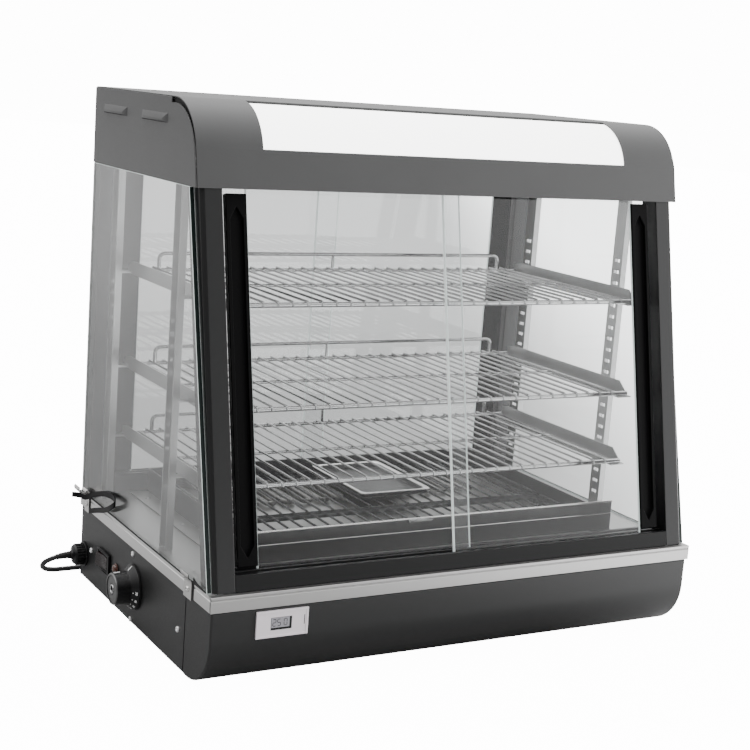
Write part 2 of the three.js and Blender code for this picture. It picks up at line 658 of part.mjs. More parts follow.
part('thermostat', 'blackPlastic', thermostat());
part('knob', 'blackPlastic', knob());
part('switch_body', 'blackPlastic', switchBody());
part('rocker', 'blackPlastic', rocker());
part('indicator_lamp', 'redLens', indicatorLamp);
part('gland', 'blackPlastic', gland);

// ---------------------------------------------------------------- glass clips
// A stepped steel strap, screwed to the trim, that keeps the side glass from spreading.
function clip(side, y, top) {
  const face = HALF_W + GAP;
  const outline = [[87, face], [87, face + 1.4], [top - 4, face + 1.4], [top, face + 4.5],
    [top + 1, face + 3.4], [top - 3, face]];
  const points = outline.map(([z, x]) => [z, side * x]);
  return prism('y', side > 0 ? points.reverse() : points, y - 11, y + 11);
}

part('glass_clip_front', 'steel', clip(-1, 62, 116));
part('glass_clip_rear', 'steel', clip(-1, 405, 119));

// ---------------------------------------------------------------- mains lead
// Turns beside each other in two layers, as one solid ring.
function coil() {
  const inner = COIL_R - 1.5 * CORD_D;
  const outer = COIL_R + 1.5 * CORD_D;
  const profile = [[inner, 0], [outer, 0], [outer, 2 * CORD_D], [inner, 2 * CORD_D], [inner, 0]];
  const ring = new THREE.LatheGeometry(profile.map(([r, z]) => new THREE.Vector2(r, z)), 36);
  return solid(ring.rotateX(Math.PI / 2).translate(COIL_X, COIL_Y, 0.2 - STAND));
}

// A moulded three-pin plug lying on its side, its boot towards the coil.
function plug() {
  const [x, y, z] = [PLUG_X, PLUG_Y, PLUG_Z];
  const boot = bar([x, y, z], [x - 26, y, z], 5.2, 10);
  const outline = [[x - 25, y + 8], [x - 34, y + 13.5], [x - 58, y + 13.5], [x - 58, y - 13.5],
    [x - 34, y - 13.5], [x - 25, y - 8]];
  const body = prism('z', outline, z - 9.6, z + 9.6);
  const blade = (side) => block(x - 76, x - 57, y + side * 6.35 - 0.8, y + side * 6.35 + 0.8,
    z - 5.8, z + 0.6);
  const pin = bar([x - 57, y, z + 5], [x - 78, y, z + 5], 2.4, 8);
  return add(boot, body, blade(-1), blade(1), pin);
}

part('cord_lead', 'rubber', bentBar(LEAD_ROUTE, CORD_D / 2, 40, 8));
part('cord_coil', 'rubber', coil());
part('plug', 'rubber', plug());

// ---------------------------------------------------------------- stand on the feet, centred
displayCase.position.set((BASE_HALF + KNOB_L + 1.8 - HALF_W) / 2, -CASE_D / 2, STAND);

export default model;
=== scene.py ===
import json
import math

import bmesh
import bpy
from mathutils import Matrix, Vector

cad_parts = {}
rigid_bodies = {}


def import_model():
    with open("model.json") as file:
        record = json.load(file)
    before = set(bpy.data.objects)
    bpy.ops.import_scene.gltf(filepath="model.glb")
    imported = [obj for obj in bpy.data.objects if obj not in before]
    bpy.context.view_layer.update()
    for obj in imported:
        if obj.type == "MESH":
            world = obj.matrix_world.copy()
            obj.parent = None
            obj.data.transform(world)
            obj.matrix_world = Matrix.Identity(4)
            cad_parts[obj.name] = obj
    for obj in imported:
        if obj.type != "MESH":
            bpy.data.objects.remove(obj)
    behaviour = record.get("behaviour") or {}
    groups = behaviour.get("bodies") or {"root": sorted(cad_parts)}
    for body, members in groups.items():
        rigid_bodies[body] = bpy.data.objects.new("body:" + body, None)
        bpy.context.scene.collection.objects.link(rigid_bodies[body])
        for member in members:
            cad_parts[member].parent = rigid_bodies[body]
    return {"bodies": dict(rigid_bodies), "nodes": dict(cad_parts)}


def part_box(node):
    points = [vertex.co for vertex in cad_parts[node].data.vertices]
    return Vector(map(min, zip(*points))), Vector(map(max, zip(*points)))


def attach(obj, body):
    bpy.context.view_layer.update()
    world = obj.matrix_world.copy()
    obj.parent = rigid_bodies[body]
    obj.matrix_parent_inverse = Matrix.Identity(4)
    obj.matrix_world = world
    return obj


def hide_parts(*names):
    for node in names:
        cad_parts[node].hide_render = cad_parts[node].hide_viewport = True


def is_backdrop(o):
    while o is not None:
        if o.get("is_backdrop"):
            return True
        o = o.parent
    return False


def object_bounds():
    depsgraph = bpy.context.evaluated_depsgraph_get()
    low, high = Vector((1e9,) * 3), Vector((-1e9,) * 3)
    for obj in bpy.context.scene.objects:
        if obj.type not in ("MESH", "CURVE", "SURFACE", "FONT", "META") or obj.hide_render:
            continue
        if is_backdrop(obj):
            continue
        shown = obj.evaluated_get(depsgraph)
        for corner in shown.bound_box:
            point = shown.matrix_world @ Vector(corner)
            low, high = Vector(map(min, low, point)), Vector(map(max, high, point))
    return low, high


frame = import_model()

kept = set(frame["nodes"].values()) | set(frame["bodies"].values())
for stray in [o for o in bpy.data.objects if o not in kept]:
    bpy.data.objects.remove(stray)
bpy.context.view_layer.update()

# Heated countertop food display case. Shapes are drawn in millimetres in the case's own
# coordinates: x = 0 on its centre line, y = 0 at the front of the trim, z = 0 just above the
# underside of the base, STAND over the surface that the case stands on.
scene = bpy.context.scene
trim_low, trim_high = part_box("trim_strip")
MM = 0.001
STAND = 10.0
TRIM_Z0, TRIM_Z1 = 89.2, 107.4
ORIGIN = Vector(((trim_low.x + trim_high.x) / 2, trim_low.y, trim_low.z - TRIM_Z0 * MM))
CASE = Matrix.Translation(ORIGIN) @ Matrix.Scale(MM, 4)

HALF_W, CASE_D, SHEET = 330.0, 434.0, 1.5
BASE_HALF, BASE_TOP, BASE_BOTTOM, BASE_ROUND = 328.0, 88.9, -6.5, 61.5
BASE_FRONT, BASE_REAR = 2.0, 433.7
FRONT_Y, FLOOR_Z = 7.3, 107.7
HOOD_Z0, HOOD_Z1, HOOD_R, HOOD_ARC_Y, HOOD_FRONT_Y = 534.8, 628.6, 65.7, 171.0, 97.7
HOOD_ARC_Z = HOOD_Z1 - HOOD_R
WINDOW_HALF, WINDOW_Z, WINDOW_Y = 248.5, 578.0, 163.0
PANEL_X = -BASE_HALF
DIAL, SWITCH, LAMP, GLAND = (234, 42), (338, 41.5), (295, 45), (417, 26.5)
CORD_R, TURN = 3.3, 6.6
SIDES = (("left", -1), ("right", 1))

# The glass front leans back from the floor of the glass house, and SLOPE lies along it
LEAN = math.radians(12.2)
SLOPE = CASE @ Matrix.Translation((0, FRONT_Y, FLOOR_Z)) @ Matrix.Rotation(-LEAN, 4, "X")


# ---------------------------------------------------------------- camera
lens = bpy.data.cameras.new("camera")
lens.lens, lens.sensor_width = 73.54, 36.0
lens.clip_start, lens.clip_end = 0.05, 60.0
camera = bpy.data.objects.new("camera", lens)
scene.collection.objects.link(camera)
CAMERA_PLACE, PAN, TILT, ROLL = (-0.9536, -1.6450, 0.6749), -0.52, 0.192, 0.073
camera.matrix_world = (
    Matrix.Translation(CAMERA_PLACE) @ Matrix.Rotation(PAN, 4, "Z")
    @ Matrix.Rotation(math.pi / 2 - TILT, 4, "X") @ Matrix.Rotation(ROLL, 4, "Z"))
scene.camera = camera


# ---------------------------------------------------------------- materials
def node(tree, kind, **values):
    made = tree.nodes.new("ShaderNode" + kind)
    for key, value in values.items():
        setattr(made, key, value)
    return made


def fill(made, values):
    for socket, value in values.items():
        made.inputs[socket].default_value = value


def object_coordinates(tree, stretch=(1, 1, 1)):
    """Object coordinates in millimetres."""
    scale = node(tree, "Mapping")
    fill(scale, {"Scale": [s / MM for s in stretch]})
    tree.links.new(node(tree, "TexCoord").outputs["Object"], scale.inputs["Vector"])
    return scale.outputs["Vector"]


def noise(tree, place, size, detail):
    made = node(tree, "TexNoise")
    fill(made, {"Scale": 1 / size, "Detail": detail})
    tree.links.new(place, made.inputs["Vector"])
    return made.outputs["Fac"]


def ranged(tree, value, near, far, low, high, **values):
    """A value between near and far, turned into one between low and high."""
    made = node(tree, "MapRange", **values)
    fill(made, {"From Min": near, "From Max": far, "To Min": low, "To Max": high})
    tree.links.new(value, made.inputs["Value"])
    return made.outputs["Result"]


def finish(name, color, rough, metal=0.0, drift=0.12, patch=70.0, grain=0.9, vary=0.06,
           bump=0.01, stretch=(1, 1, 1), **sockets):
    """A Principled finish: its colour drifts over `patch` mm, and a grain of `grain` mm
    moves its roughness by `vary` and its surface by `bump` mm."""
    mat = bpy.data.materials.new(name)
    mat.use_nodes = True
    tree = mat.node_tree
    link = tree.links.new
    shader = tree.nodes["Principled BSDF"]
    shader.inputs["Metallic"].default_value = metal
    for socket, value in sockets.items():
        shader.inputs[socket.replace("_", " ")].default_value = value
    place = object_coordinates(tree, stretch)
    wide = noise(tree, place, patch, 3)
    fine = noise(tree, place, grain, 2)
    tone = node(tree, "Mix", data_type="RGBA")
    tone.inputs[6].default_value = [c * (1 - drift) for c in color] + [1]
    tone.inputs[7].default_value = [min(1, c * (1 + drift)) for c in color] + [1]
    link(wide, tone.inputs[0])
    link(tone.outputs[2], shader.inputs["Base Color"])
    link(ranged(tree, fine, 0.3, 0.7, max(0.02, rough - vary), rough + vary), shader.inputs["Roughness"])
    if bump:
        relief = node(tree, "Bump")
        fill(relief, {"Strength": 1.0, "Distance": bump * MM})
        link(fine, relief.inputs["Height"])
        link(relief.outputs["Normal"], shader.inputs["Normal"])
    return mat


def glass(name, tint):
    """A clear pane: it refracts and reflects, and lets light through to what is behind it."""
    mat = bpy.data.materials.new(name)
    mat.use_nodes = True
    tree = mat.node_tree
    shader = tree.nodes["Principled BSDF"]
    link = tree.links.new
    fill(shader, {"Transmission Weight": 1.0, "IOR": 1.46, "Base Color": (*tint, 1)})
    smear = noise(tree, object_coordinates(tree), 90, 4)
    link(ranged(tree, smear, 0.45, 0.8, 0.0, 0.05), shader.inputs["Roughness"])
    clear = node(tree, "BsdfTransparent")
    fill(clear, {"Color": (*[math.sqrt(t) for t in tint], 1)})
    mix = node(tree, "MixShader")
    link(node(tree, "LightPath").outputs["Is Shadow Ray"], mix.inputs["Fac"])
    link(shader.outputs["BSDF"], mix.inputs[1])
    link(clear.outputs["BSDF"], mix.inputs[2])
    link(mix.outputs["Shader"], tree.nodes["Material Output"].inputs["Surface"])
    return mat


POWDER = finish("powder_coat", (0.008, 0.0082, 0.0085), 0.42, grain=0.9, vary=0.04, bump=0.002)
HOOD_POWDER = finish("hood_powder_coat", (0.040, 0.0402, 0.0405), 0.40, grain=0.9, vary=0.04, bump=0.002)
FRAME_BLACK = finish("frame_black", (0.005, 0.0052, 0.0055), 0.32, grain=6.0, vary=0.01, bump=0.0,
                     Specular_IOR_Level=0.42)
TRACK_BLACK = finish("track_black", (0.004, 0.0042, 0.0044), 0.34, grain=6.0, vary=0.01, bump=0.0,
                     Specular_IOR_Level=0.2)
STILE_BLACK = finish("stile_black", (0.003, 0.003, 0.0032), 0.40, grain=6.0, vary=0.02, bump=0.0,
                     Specular_IOR_Level=0.05)
# Near-black, used for painted shade in gaps, slots and recesses and for the display's printed digits
DARK = finish("shade_and_print_black", (0.004, 0.004, 0.004), 0.8, bump=0.0)
# One satin steel, brushed two ways. Besides the brushing, the copy brushed across (deck, front and rear
# trim) is painted darker and the copy brushed along (side trim) is painted lighter: painted shade and
# painted light
SATIN_ACROSS_PAINTED_DARKER = finish("satin_steel_across_painted_darker", (0.44, 0.436, 0.432), 0.36, 1.0, drift=0.05, grain=0.35,
                 bump=0.003, stretch=(0.02, 1, 1))
SATIN_ALONG_PAINTED_LIGHTER = finish("satin_steel_along_painted_lighter", (0.70, 0.695, 0.69), 0.36, 1.0, drift=0.05, grain=0.35,
                 bump=0.003, stretch=(1, 0.02, 1))
POLISHED = finish("polished_steel", (0.66, 0.65, 0.64), 0.16, 1.0, drift=0.05, grain=2.5, vary=0.04,
                  bump=0.0)
PAN_STEEL = finish("pan_steel", (0.070, 0.0695, 0.069), 0.40, 1.0, drift=0.04, patch=90, grain=6.0,
                   vary=0.01, bump=0.0)
PAN_FLOOR_PAINTED_LIGHT = finish("pan_floor_painted_light", (0.46, 0.455, 0.45), 0.42, 1.0, drift=0.05, patch=90, grain=6.0,
                   vary=0.01, bump=0.0)
ZINC = finish("zinc_steel", (0.40, 0.40, 0.40), 0.34, 1.0, drift=0.06, patch=14, grain=4.0, vary=0.04,
              bump=0.0)
CHROME = finish("chrome_wire", (0.44, 0.44, 0.44), 0.07, 1.0, drift=0.05, patch=30, grain=3.0,
                vary=0.02, bump=0.0)
DARK_CHROME = finish("rack_wire", (0.055, 0.055, 0.055), 0.16, 1.0, drift=0.08, patch=30, grain=3.0,
                     vary=0.03, bump=0.0)
SHEATH = finish("heater_sheath", (0.20, 0.195, 0.19), 0.30, 0.9, drift=0.25, patch=18, grain=2.0, bump=0.0)
PLASTIC = finish("black_plastic", (0.005, 0.005, 0.0055), 0.30, grain=0.6, vary=0.04, bump=0.003,
                 Specular_IOR_Level=0.28)
SCREW_STEEL = finish("screw_steel", (0.95, 0.95, 0.95), 0.42, 1.0, drift=0.05, grain=2.0, bump=0.0)
RIM_PLASTIC = finish("silvered_rim", (0.13, 0.13, 0.13), 0.35, 0.8, grain=0.6)
RUBBER = finish("black_rubber", (0.007, 0.007, 0.007), 0.55, grain=0.6, bump=0.01, Specular_IOR_Level=0.3)
CORD_SHEATH = finish("cord_sheath", (0.007, 0.007, 0.008), 0.42, grain=0.8, bump=0.006)
RED_LENS = finish("red_lens", (0.06, 0.017, 0.009), 0.22, grain=1.0, bump=0.0, Coat_Weight=0.4)
ROCKER = finish("rocker_red_black", (0.009, 0.004, 0.0045), 0.26, grain=0.8, bump=0.0)
WHITE_PLASTIC = finish("white_plastic", (0.84, 0.78, 0.82), 0.34, drift=0.04, grain=0.6, bump=0.004)
PRINT = finish("white_print", (0.90, 0.90, 0.90), 0.5, grain=0.5, bump=0.0)
LCD = finish("lcd_glass", (0.34, 0.33, 0.36), 0.16, grain=0.9, bump=0.0)
DIFFUSER = finish("white_diffuser", (0.90, 0.90, 0.89), 0.45, drift=0.02, grain=1.2, bump=0.0,
                  Emission_Color=(1, 1, 0.99, 1), Emission_Strength=4.5)
# Painted highlight: pale pane edges that glow faintly, though glass edges give no light
GLOWING_PANE_EDGE = finish("pane_edge_painted_glow", (0.80, 0.88, 0.86), 0.25, drift=0.12, patch=25, grain=2.0, bump=0.0,
                    Emission_Color=(0.92, 1, 0.98, 1), Emission_Strength=0.35)
# Painted shade: near-black for the side panes' cut edges, where the glass edge looks dark
SHADED_PANE_EDGE = finish("pane_edge_painted_shade", (0.009, 0.015, 0.014), 0.20, drift=0.12, patch=25, grain=2.0,
                   bump=0.0, Specular_IOR_Level=0.3)
# All panes are one glass. The left side pane's darker tint paints shade on what is seen through it, and the
# rear panes are painted a little darker too
GLASS = {"side_left": glass("glass_side_left_painted_shade", (0.84, 0.85, 0.85)),
         "side_right": glass("glass_side_right", (0.95, 0.96, 0.96)),
         "front": glass("glass_front", (0.94, 0.95, 0.95)),
         "rear": glass("glass_rear_painted_shade", (0.90, 0.91, 0.91))}


# ---------------------------------------------------------------- mesh helpers
def slab(bm, x0, x1, y0, y1, z0, z1):
    size = Matrix.Diagonal((x1 - x0, y1 - y0, z1 - z0, 1))
    middle = Matrix.Translation(((x0 + x1) / 2, (y0 + y1) / 2, (z0 + z1) / 2))
    bmesh.ops.create_cube(bm, size=1, matrix=middle @ size)


PLANES = {"x": lambda u, v, t: (t, u, v), "y": lambda u, v, t: (u, t, v), "z": lambda u, v, t: (u, v, t)}


def loft(bm, rings):
    """A closed skin over a row of rings that have the same number of corners."""
    bm.faces.new(rings[0])
    bm.faces.new(rings[-1])
    for one, two in zip(rings, rings[1:]):
        for k in range(len(one)):
            m = (k + 1) % len(one)
            bm.faces.new((one[k], one[m], two[m], two[k]))


def prism(bm, axis, outline, low, high):
    """A closed outline swept along one axis: (y, z) along x, (x, z) along y, (x, y) along z."""
    place = PLANES[axis]
    loft(bm, [[bm.verts.new(place(u, v, t)) for u, v in outline] for t in (low, high)])


def frames_along(points):
    """A normal and a binormal at each point of a line, carried along without twisting."""
    n = len(points)
    tangents = [(points[min(i + 1, n - 1)] - points[max(i - 1, 0)]).normalized() for i in range(n)]
    side = tangents[0].orthogonal().normalized()
    made = []
    for tangent in tangents:
        side = (side - tangent * side.dot(tangent)).normalized()
        made.append((side, tangent.cross(side)))
    return made


def tube(bm, points, radius, sides=10):
    """A round wire along a line. The radius is one number, or one for each point."""
    points = [Vector(p) for p in points]
    radii = radius if isinstance(radius, (list, tuple)) else [radius] * len(points)
    rings = []
    for p, r, (a, b) in zip(points, radii, frames_along(points)):
        rings.append([bm.verts.new(p + r * (math.cos(t) * a + math.sin(t) * b))
                      for t in (2 * math.pi * k / sides for k in range(sides))])
    loft(bm, rings)


def rounded(points, radius, steps=5):
    """A line with its corners rounded by arcs."""
    points = [Vector(p) for p in points]
    made = [points[0]]
    for a, b, c in zip(points, points[1:], points[2:]):
        into, away = (a - b).normalized(), (c - b).normalized()
        bend = math.pi - into.angle(away)
        cut = min(radius * math.tan(bend / 2), (a - b).length * 0.49, (c - b).length * 0.49)
        start, end = b + into * cut, b + away * cut
        for i in range(steps + 1):
            t = i / steps
            made.append(start * (1 - t) ** 2 + b * 2 * t * (1 - t) + end * t ** 2)
    return made + [points[-1]]


def lathe(bm, profile, centre, axis="-x", segments=40):
    """A turned piece: (radius, height) pairs from one end of its axis to the other."""
    turn = {"-x": Matrix.Rotation(-math.pi / 2, 3, "Y"), "z": Matrix.Identity(3),
            "x": Matrix.Rotation(math.pi / 2, 3, "Y"), "-y": Matrix.Rotation(math.pi / 2, 3, "X")}[axis]
    rings = []
    for r, h in profile:
        if r < 1e-6:
            rings.append([bm.verts.new(Vector(centre) + turn @ Vector((0, 0, h)))])
            continue
        rings.append([bm.verts.new(Vector(centre) + turn @ Vector((r * math.cos(t), r * math.sin(t), h)))
                      for t in (2 * math.pi * k / segments for k in range(segments))])
    for one, two in zip(rings, rings[1:]):
        for k in range(segments):
            m = (k + 1) % segments
            corners = [one[k % len(one)], one[m % len(one)], two[m % len(two)], two[k % len(two)]]
            unique = list(dict.fromkeys(corners))
            if len(unique) > 2:
                bm.faces.new(unique)
    for ring in (rings[0], rings[-1]):
        if len(ring) > 1:
            bm.faces.new(ring)


def arc(cx, cy, r, start, end, steps):
    """Points round a centre, in degrees."""
    angles = [math.radians(start + (end - start) * i / steps) for i in range(steps + 1)]
    return [(cx + r * math.cos(a), cy + r * math.sin(a)) for a in angles]


def round_box(half_u, half_v, r, steps=4):
    """A rounded rectangle round 0, 0."""
    made = []
    for su, sv, start in ((1, 1, 0), (-1, 1, 90), (-1, -1, 180), (1, -1, 270)):
        made += arc(su * (half_u - r), sv * (half_v - r), r, start, start + 90, steps)
    return made


def soften(bm, width, angle=30, segments=2):
    """Rounds every edge that turns more than an angle."""
    bmesh.ops.recalc_face_normals(bm, faces=bm.faces[:])
    sharp = [e for e in bm.edges if len(e.link_faces) == 2 and e.calc_face_angle() > math.radians(angle)]
    bmesh.ops.bevel(bm, geom=sharp, offset=width, segments=segments, profile=0.5, affect="EDGES",
                    clamp_overlap=True)


def shade(ob, angle=35):
    ob.data.shade_smooth()
    ob.data.set_sharp_from_angle(angle=math.radians(angle))
    ob.modifiers.new("even_normals", "WEIGHTED_NORMAL").keep_sharp = True


def piece(name, bm, material, body="case", replaces=(), at=CASE, angle=35):
    """A finished mesh in the scene: its materials, body and the CAD nodes it stands for."""
    bmesh.ops.recalc_face_normals(bm, faces=bm.faces[:])
    bm.transform(at)
    mesh = bpy.data.meshes.new(name)
    bm.to_mesh(mesh)
    bm.free()
    for mat in material if isinstance(material, (list, tuple)) else [material]:
        mesh.materials.append(mat)
    ob = bpy.data.objects.new(name, mesh)
    scene.collection.objects.link(ob)
    shade(ob, angle)
    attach(ob, body)
    if replaces:
        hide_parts(*replaces)
    return ob


def dress(name, material, bevel=0.8, segments=2, angle=30):
    """A CAD node that stays: its edges are rounded and it gets its finish."""
    ob = frame["nodes"][name]
    ob.data.materials.clear()
    ob.data.materials.append(material)
    ob.modifiers.new("weld", "WELD").merge_threshold = 0.02 * MM
    edge = ob.modifiers.new("edges", "BEVEL")
    edge.width, edge.segments = bevel * MM, segments
    edge.limit_method, edge.angle_limit = "ANGLE", math.radians(angle)
    edge.use_clamp_overlap = True
    ob.data.shade_flat()


def span(side, near, far):
    """A span of x values on one side of the case, in rising order."""
    return (-far, -near) if side < 0 else (near, far)


# ---------------------------------------------------------------- mains lead, plug
LEAD_ROUTE = [
    (-346, 417, 26.5), (-350, 417, 26.5), (-356.9, 417.7, 25.9), (-363.3, 419.8, 24.3),
    (-368.8, 423.1, 21.7), (-373, 427.4, 18.2), (-375.7, 432.5, 14.3), (-376.6, 437.9, 10),
    (-375.7, 443.3, 5.7), (-373, 448.3, 1.8), (-368.8, 452.6, -1.7), (-363.3, 455.9, -4.3),
    (-356.9, 458, -5.9), (-350, 458.7, -6.5), (-335, 458.7, -6.5), (-310, 458.7, -6.5),
    (-285, 458.7, -6.5), (-255, 458.7, -6.5), (-225, 458.7, -6.5), (-184.2, 458.7, -6.5)]
LEAD_Z = -6.5
COIL_X, COIL_Y, COIL_R = -160.0, 501.8, 36.5
PLUG_X, PLUG_Y, PLUG_Z = -187.0, COIL_Y + COIL_R + TURN, 0.2


def eased(value, start, end):
    """A smooth rise from 0 at the start to 1 at the end."""
    t = min(1.0, max(0.0, (value - start) / (end - start)))
    return t * t * (3 - 2 * t)


def coil_point(turned):
    """The lead at an angle in degrees: three turns inwards, then up and out again on top."""
    inwards = eased(turned, 570, 630) + eased(turned, 930, 990)
    outwards = eased(turned, 1500, 1570) + eased(turned, 1860, 1930)
    r = COIL_R + TURN * (1 - inwards + outwards)
    z = LEAD_Z + TURN * eased(turned, 1215, 1290)
    a = math.radians(turned)
    return Vector((COIL_X + r * math.cos(a), COIL_Y + r * math.sin(a), z))


def smooth_route(points, steps=4):
    """A Catmull-Rom curve through a row of points."""
    points = [Vector(p) for p in points]
    padded = [points[0] * 2 - points[1]] + points + [points[-1] * 2 - points[-2]]
    made = []
    for a, b, c, d in zip(padded, padded[1:], padded[2:], padded[3:]):
        for i in range(steps):
            t = i / steps
            made.append(0.5 * (2 * b + (c - a) * t + (2 * a - 5 * b + 4 * c - d) * t * t
                               + (3 * b - a - 3 * c + d) * t ** 3))
    return made + [points[-1]]


lead_line = smooth_route(LEAD_ROUTE) + [Vector((-172, 458.7, LEAD_Z))]
COIL_START, COIL_STEP, COIL_STEPS = 270, 7.5, 265
lead_line += [coil_point(COIL_START + COIL_STEP * i) for i in range(COIL_STEPS)]
lead_line += [Vector((x, PLUG_Y, z)) for x, z in ((-166, 0.1), (-173, 0.12), (-180, 0.16), (-187, 0.2))]

curve = bpy.data.curves.new("mains_lead", "CURVE")
curve.dimensions = "3D"
curve.bevel_depth, curve.bevel_resolution = CORD_R * MM, 4
curve.use_fill_caps = True
line = curve.splines.new("POLY")
line.points.add(len(lead_line) - 1)
for point, place in zip(line.points, lead_line):
    point.co = (*(CASE @ place), 1)
line.use_smooth = True
curve.materials.append(CORD_SHEATH)
lead = bpy.data.objects.new("mains_lead", curve)
scene.collection.objects.link(lead)
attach(lead, "case")
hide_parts("cord_lead", "cord_coil")

# Tapered, ribbed strain relief on the first stretch of the lead
bm = bmesh.new()
relief_line = lead_line[:14]
steps = len(relief_line) - 1
tube(bm, relief_line, [5.4 - 1.6 * i / steps - (0.4 if i % 3 == 2 else 0) for i in range(steps + 1)], 20)
relief = piece("strain_relief", bm, RUBBER)

# Tie round the coil
bm = bmesh.new()
TIE_GROWTH, TIE_HALF_W = 1.13, 5
band = round_box(11.4, 8.0, 3.5, 5)
for a, b in zip(band, band[1:] + band[:1]):
    corners = [(COIL_X + COIL_R + u * grow, max(-9.95, v * grow - 3.2))
               for (u, v), grow in ((a, 1.0), (b, 1.0), (b, TIE_GROWTH), (a, TIE_GROWTH))]
    loft(bm, [[bm.verts.new((x, COIL_Y + along, z)) for x, z in corners]
              for along in (-TIE_HALF_W, TIE_HALF_W)])
bmesh.ops.remove_doubles(bm, verts=bm.verts[:], dist=0.01)
tie = piece("coil_tie", bm, RUBBER)

# Moulded three-pin plug
bm = bmesh.new()
sections = [(-2, 4.4, 4.4), (-8, 4.9, 4.9), (-9, 4.2, 4.2), (-12, 5.1, 5.1), (-13, 4.4, 4.4),
            (-16, 5.2, 5.2), (-17, 4.5, 4.5), (-20, 5.4, 5.4), (-25, 7.6, 7.0), (-33, 13.0, 9.2),
            (-40, 13.5, 9.6), (-56.5, 13.5, 9.6), (-58, 12.6, 8.7)]
rings = []
for dx, half_y, half_z in sections:
    ring = round_box(half_y, half_z, min(half_y, half_z) * (0.98 if dx > -24 else 0.5), 5)
    rings.append([bm.verts.new((PLUG_X + dx, PLUG_Y + u, PLUG_Z + v)) for u, v in ring])
loft(bm, rings)
plug = piece("plug_body", bm, RUBBER, replaces=("plug",), angle=50)

# Its two blades and its round pin
bm = bmesh.new()
for side in (-1, 1):
    slab(bm, PLUG_X - 75.5, PLUG_X - 57, PLUG_Y + side * 6.35 - 0.8, PLUG_Y + side * 6.35 + 0.8,
         PLUG_Z - 5.8, PLUG_Z + 0.6)
soften(bm, 0.5)
lathe(bm, [(2.4, 57), (2.4, 75), (1.6, 77.4), (0, 78)], (PLUG_X, PLUG_Y, PLUG_Z + 5), "-x", 20)
pins = piece("plug_pins", bm, ZINC)


# ---------------------------------------------------------------- base
BASE_SEAM = 71.4


def base_outline(rear):
    """The base front: upright, then rounded under into the bottom."""
    centre = BASE_BOTTOM + BASE_ROUND
    front = [(BASE_FRONT, BASE_TOP), (BASE_FRONT, 72), (BASE_FRONT, centre)]
    return (front + arc(BASE_FRONT + BASE_ROUND, centre, BASE_ROUND, 180, 270, 28)[1:]
            + [(rear, BASE_BOTTOM), (rear, BASE_TOP)])


bm = bmesh.new()
prism(bm, "x", base_outline(BASE_SEAM), -BASE_HALF, BASE_HALF)
bmesh.ops.recalc_face_normals(bm, faces=bm.faces[:])
ends = [e for e in bm.edges if all(abs(abs(v.co.x) - BASE_HALF) < 0.01 for v in e.verts)
        and not all(v.co.y > BASE_SEAM - 0.1 for v in e.verts)]
bmesh.ops.bevel(bm, geom=ends, offset=2.4, segments=4, profile=0.5, affect="EDGES")
piece("base_front", bm, POWDER, replaces=("base_shell",), angle=50)

# Bottom sheet and the rear wall with its row of vents
bm = bmesh.new()
BASE_SHEET_TOP = BASE_BOTTOM + 1.6
VENT_Z = (40, 46)
VENT_X = [x for i in range(8) for x in (-200 + i * 50, -170 + i * 50)]
rear_edges = [-BASE_HALF + 1, *VENT_X, BASE_HALF - 1]
slab(bm, -BASE_HALF + 2, BASE_HALF - 2, 73.0, BASE_REAR - 1.6, BASE_BOTTOM, BASE_SHEET_TOP)
for z0, z1 in ((BASE_SHEET_TOP, VENT_Z[0]), (VENT_Z[1], BASE_TOP), (BASE_BOTTOM, BASE_SHEET_TOP)):
    slab(bm, rear_edges[0], rear_edges[-1], BASE_REAR - SHEET, BASE_REAR, z0, z1)
for x0, x1 in zip(rear_edges[::2], rear_edges[1::2]):
    slab(bm, x0, x1, BASE_REAR - SHEET, BASE_REAR, *VENT_Z)
bmesh.ops.remove_doubles(bm, verts=bm.verts[:], dist=0.001)
piece("base_back", bm, POWDER)

# Painted shade: dark sheets behind the vents, inside the base's sides and in the seam behind the base front
bm = bmesh.new()
LINER_Z = (8, 84)
slab(bm, -320, 320, BASE_REAR - 6, BASE_REAR - 5, *LINER_Z)
slab(bm, BASE_HALF - 8, BASE_HALF - 7, 80, 425, *LINER_Z)
slab(bm, PANEL_X + 36, PANEL_X + 37, 80, 425, *LINER_Z)
slab(bm, -BASE_HALF + 1.2, BASE_HALF - 1.2, BASE_SEAM + 0.2, BASE_SEAM + 1.5, BASE_BOTTOM + 1, 87)
piece("base_liner", bm, DARK)

dress("control_panel", POWDER, 0.7)
dress("side_cover", POWDER, 0.7)
dress("deck", SATIN_ACROSS_PAINTED_DARKER, 0.4)

# Flat rubber pads as feet
for end, y in (("front", 105), ("rear", 380)):
    for name, side in SIDES:
        bm = bmesh.new()
        lathe(bm, [(0, 0), (13, 0), (14.4, 0.4), (15.1, 1.4), (15.7, 2.6), (15.3, 3.1), (0, 3.2)],
              (side * 270, y, -STAND), "z", 48)
        piece(f"rubber_foot_{end}_{name}", bm, RUBBER, replaces=(f"foot_{end}_{name}",))


# ---------------------------------------------------------------- steel trim
def groove(outer, inward):
    """A pressed line under the rounded top edge."""
    z, deep = TRIM_Z1 - 4.2, outer + inward * 1.1
    return [(outer, z - 0.9), (deep, z - 0.4), (deep, z + 0.4), (outer, z + 0.9)]


TRIM_FLANGE, TRIM_UNDER = 8, TRIM_Z1 - 1.4


def cross_strip(outer, inward):
    """A folded strip along x: a grooved wall with a flange turned in at its top."""
    bm = bmesh.new()
    wall, flange = outer + inward * SHEET, outer + inward * TRIM_FLANGE
    outline = [(outer, TRIM_Z0), *groove(outer, inward), (outer, TRIM_Z1), (flange, TRIM_Z1),
               (flange, TRIM_UNDER), (wall, TRIM_UNDER), (wall, TRIM_Z0)]
    prism(bm, "x", outline, -HALF_W, HALF_W)
    soften(bm, 0.6, segments=3)
    return bm


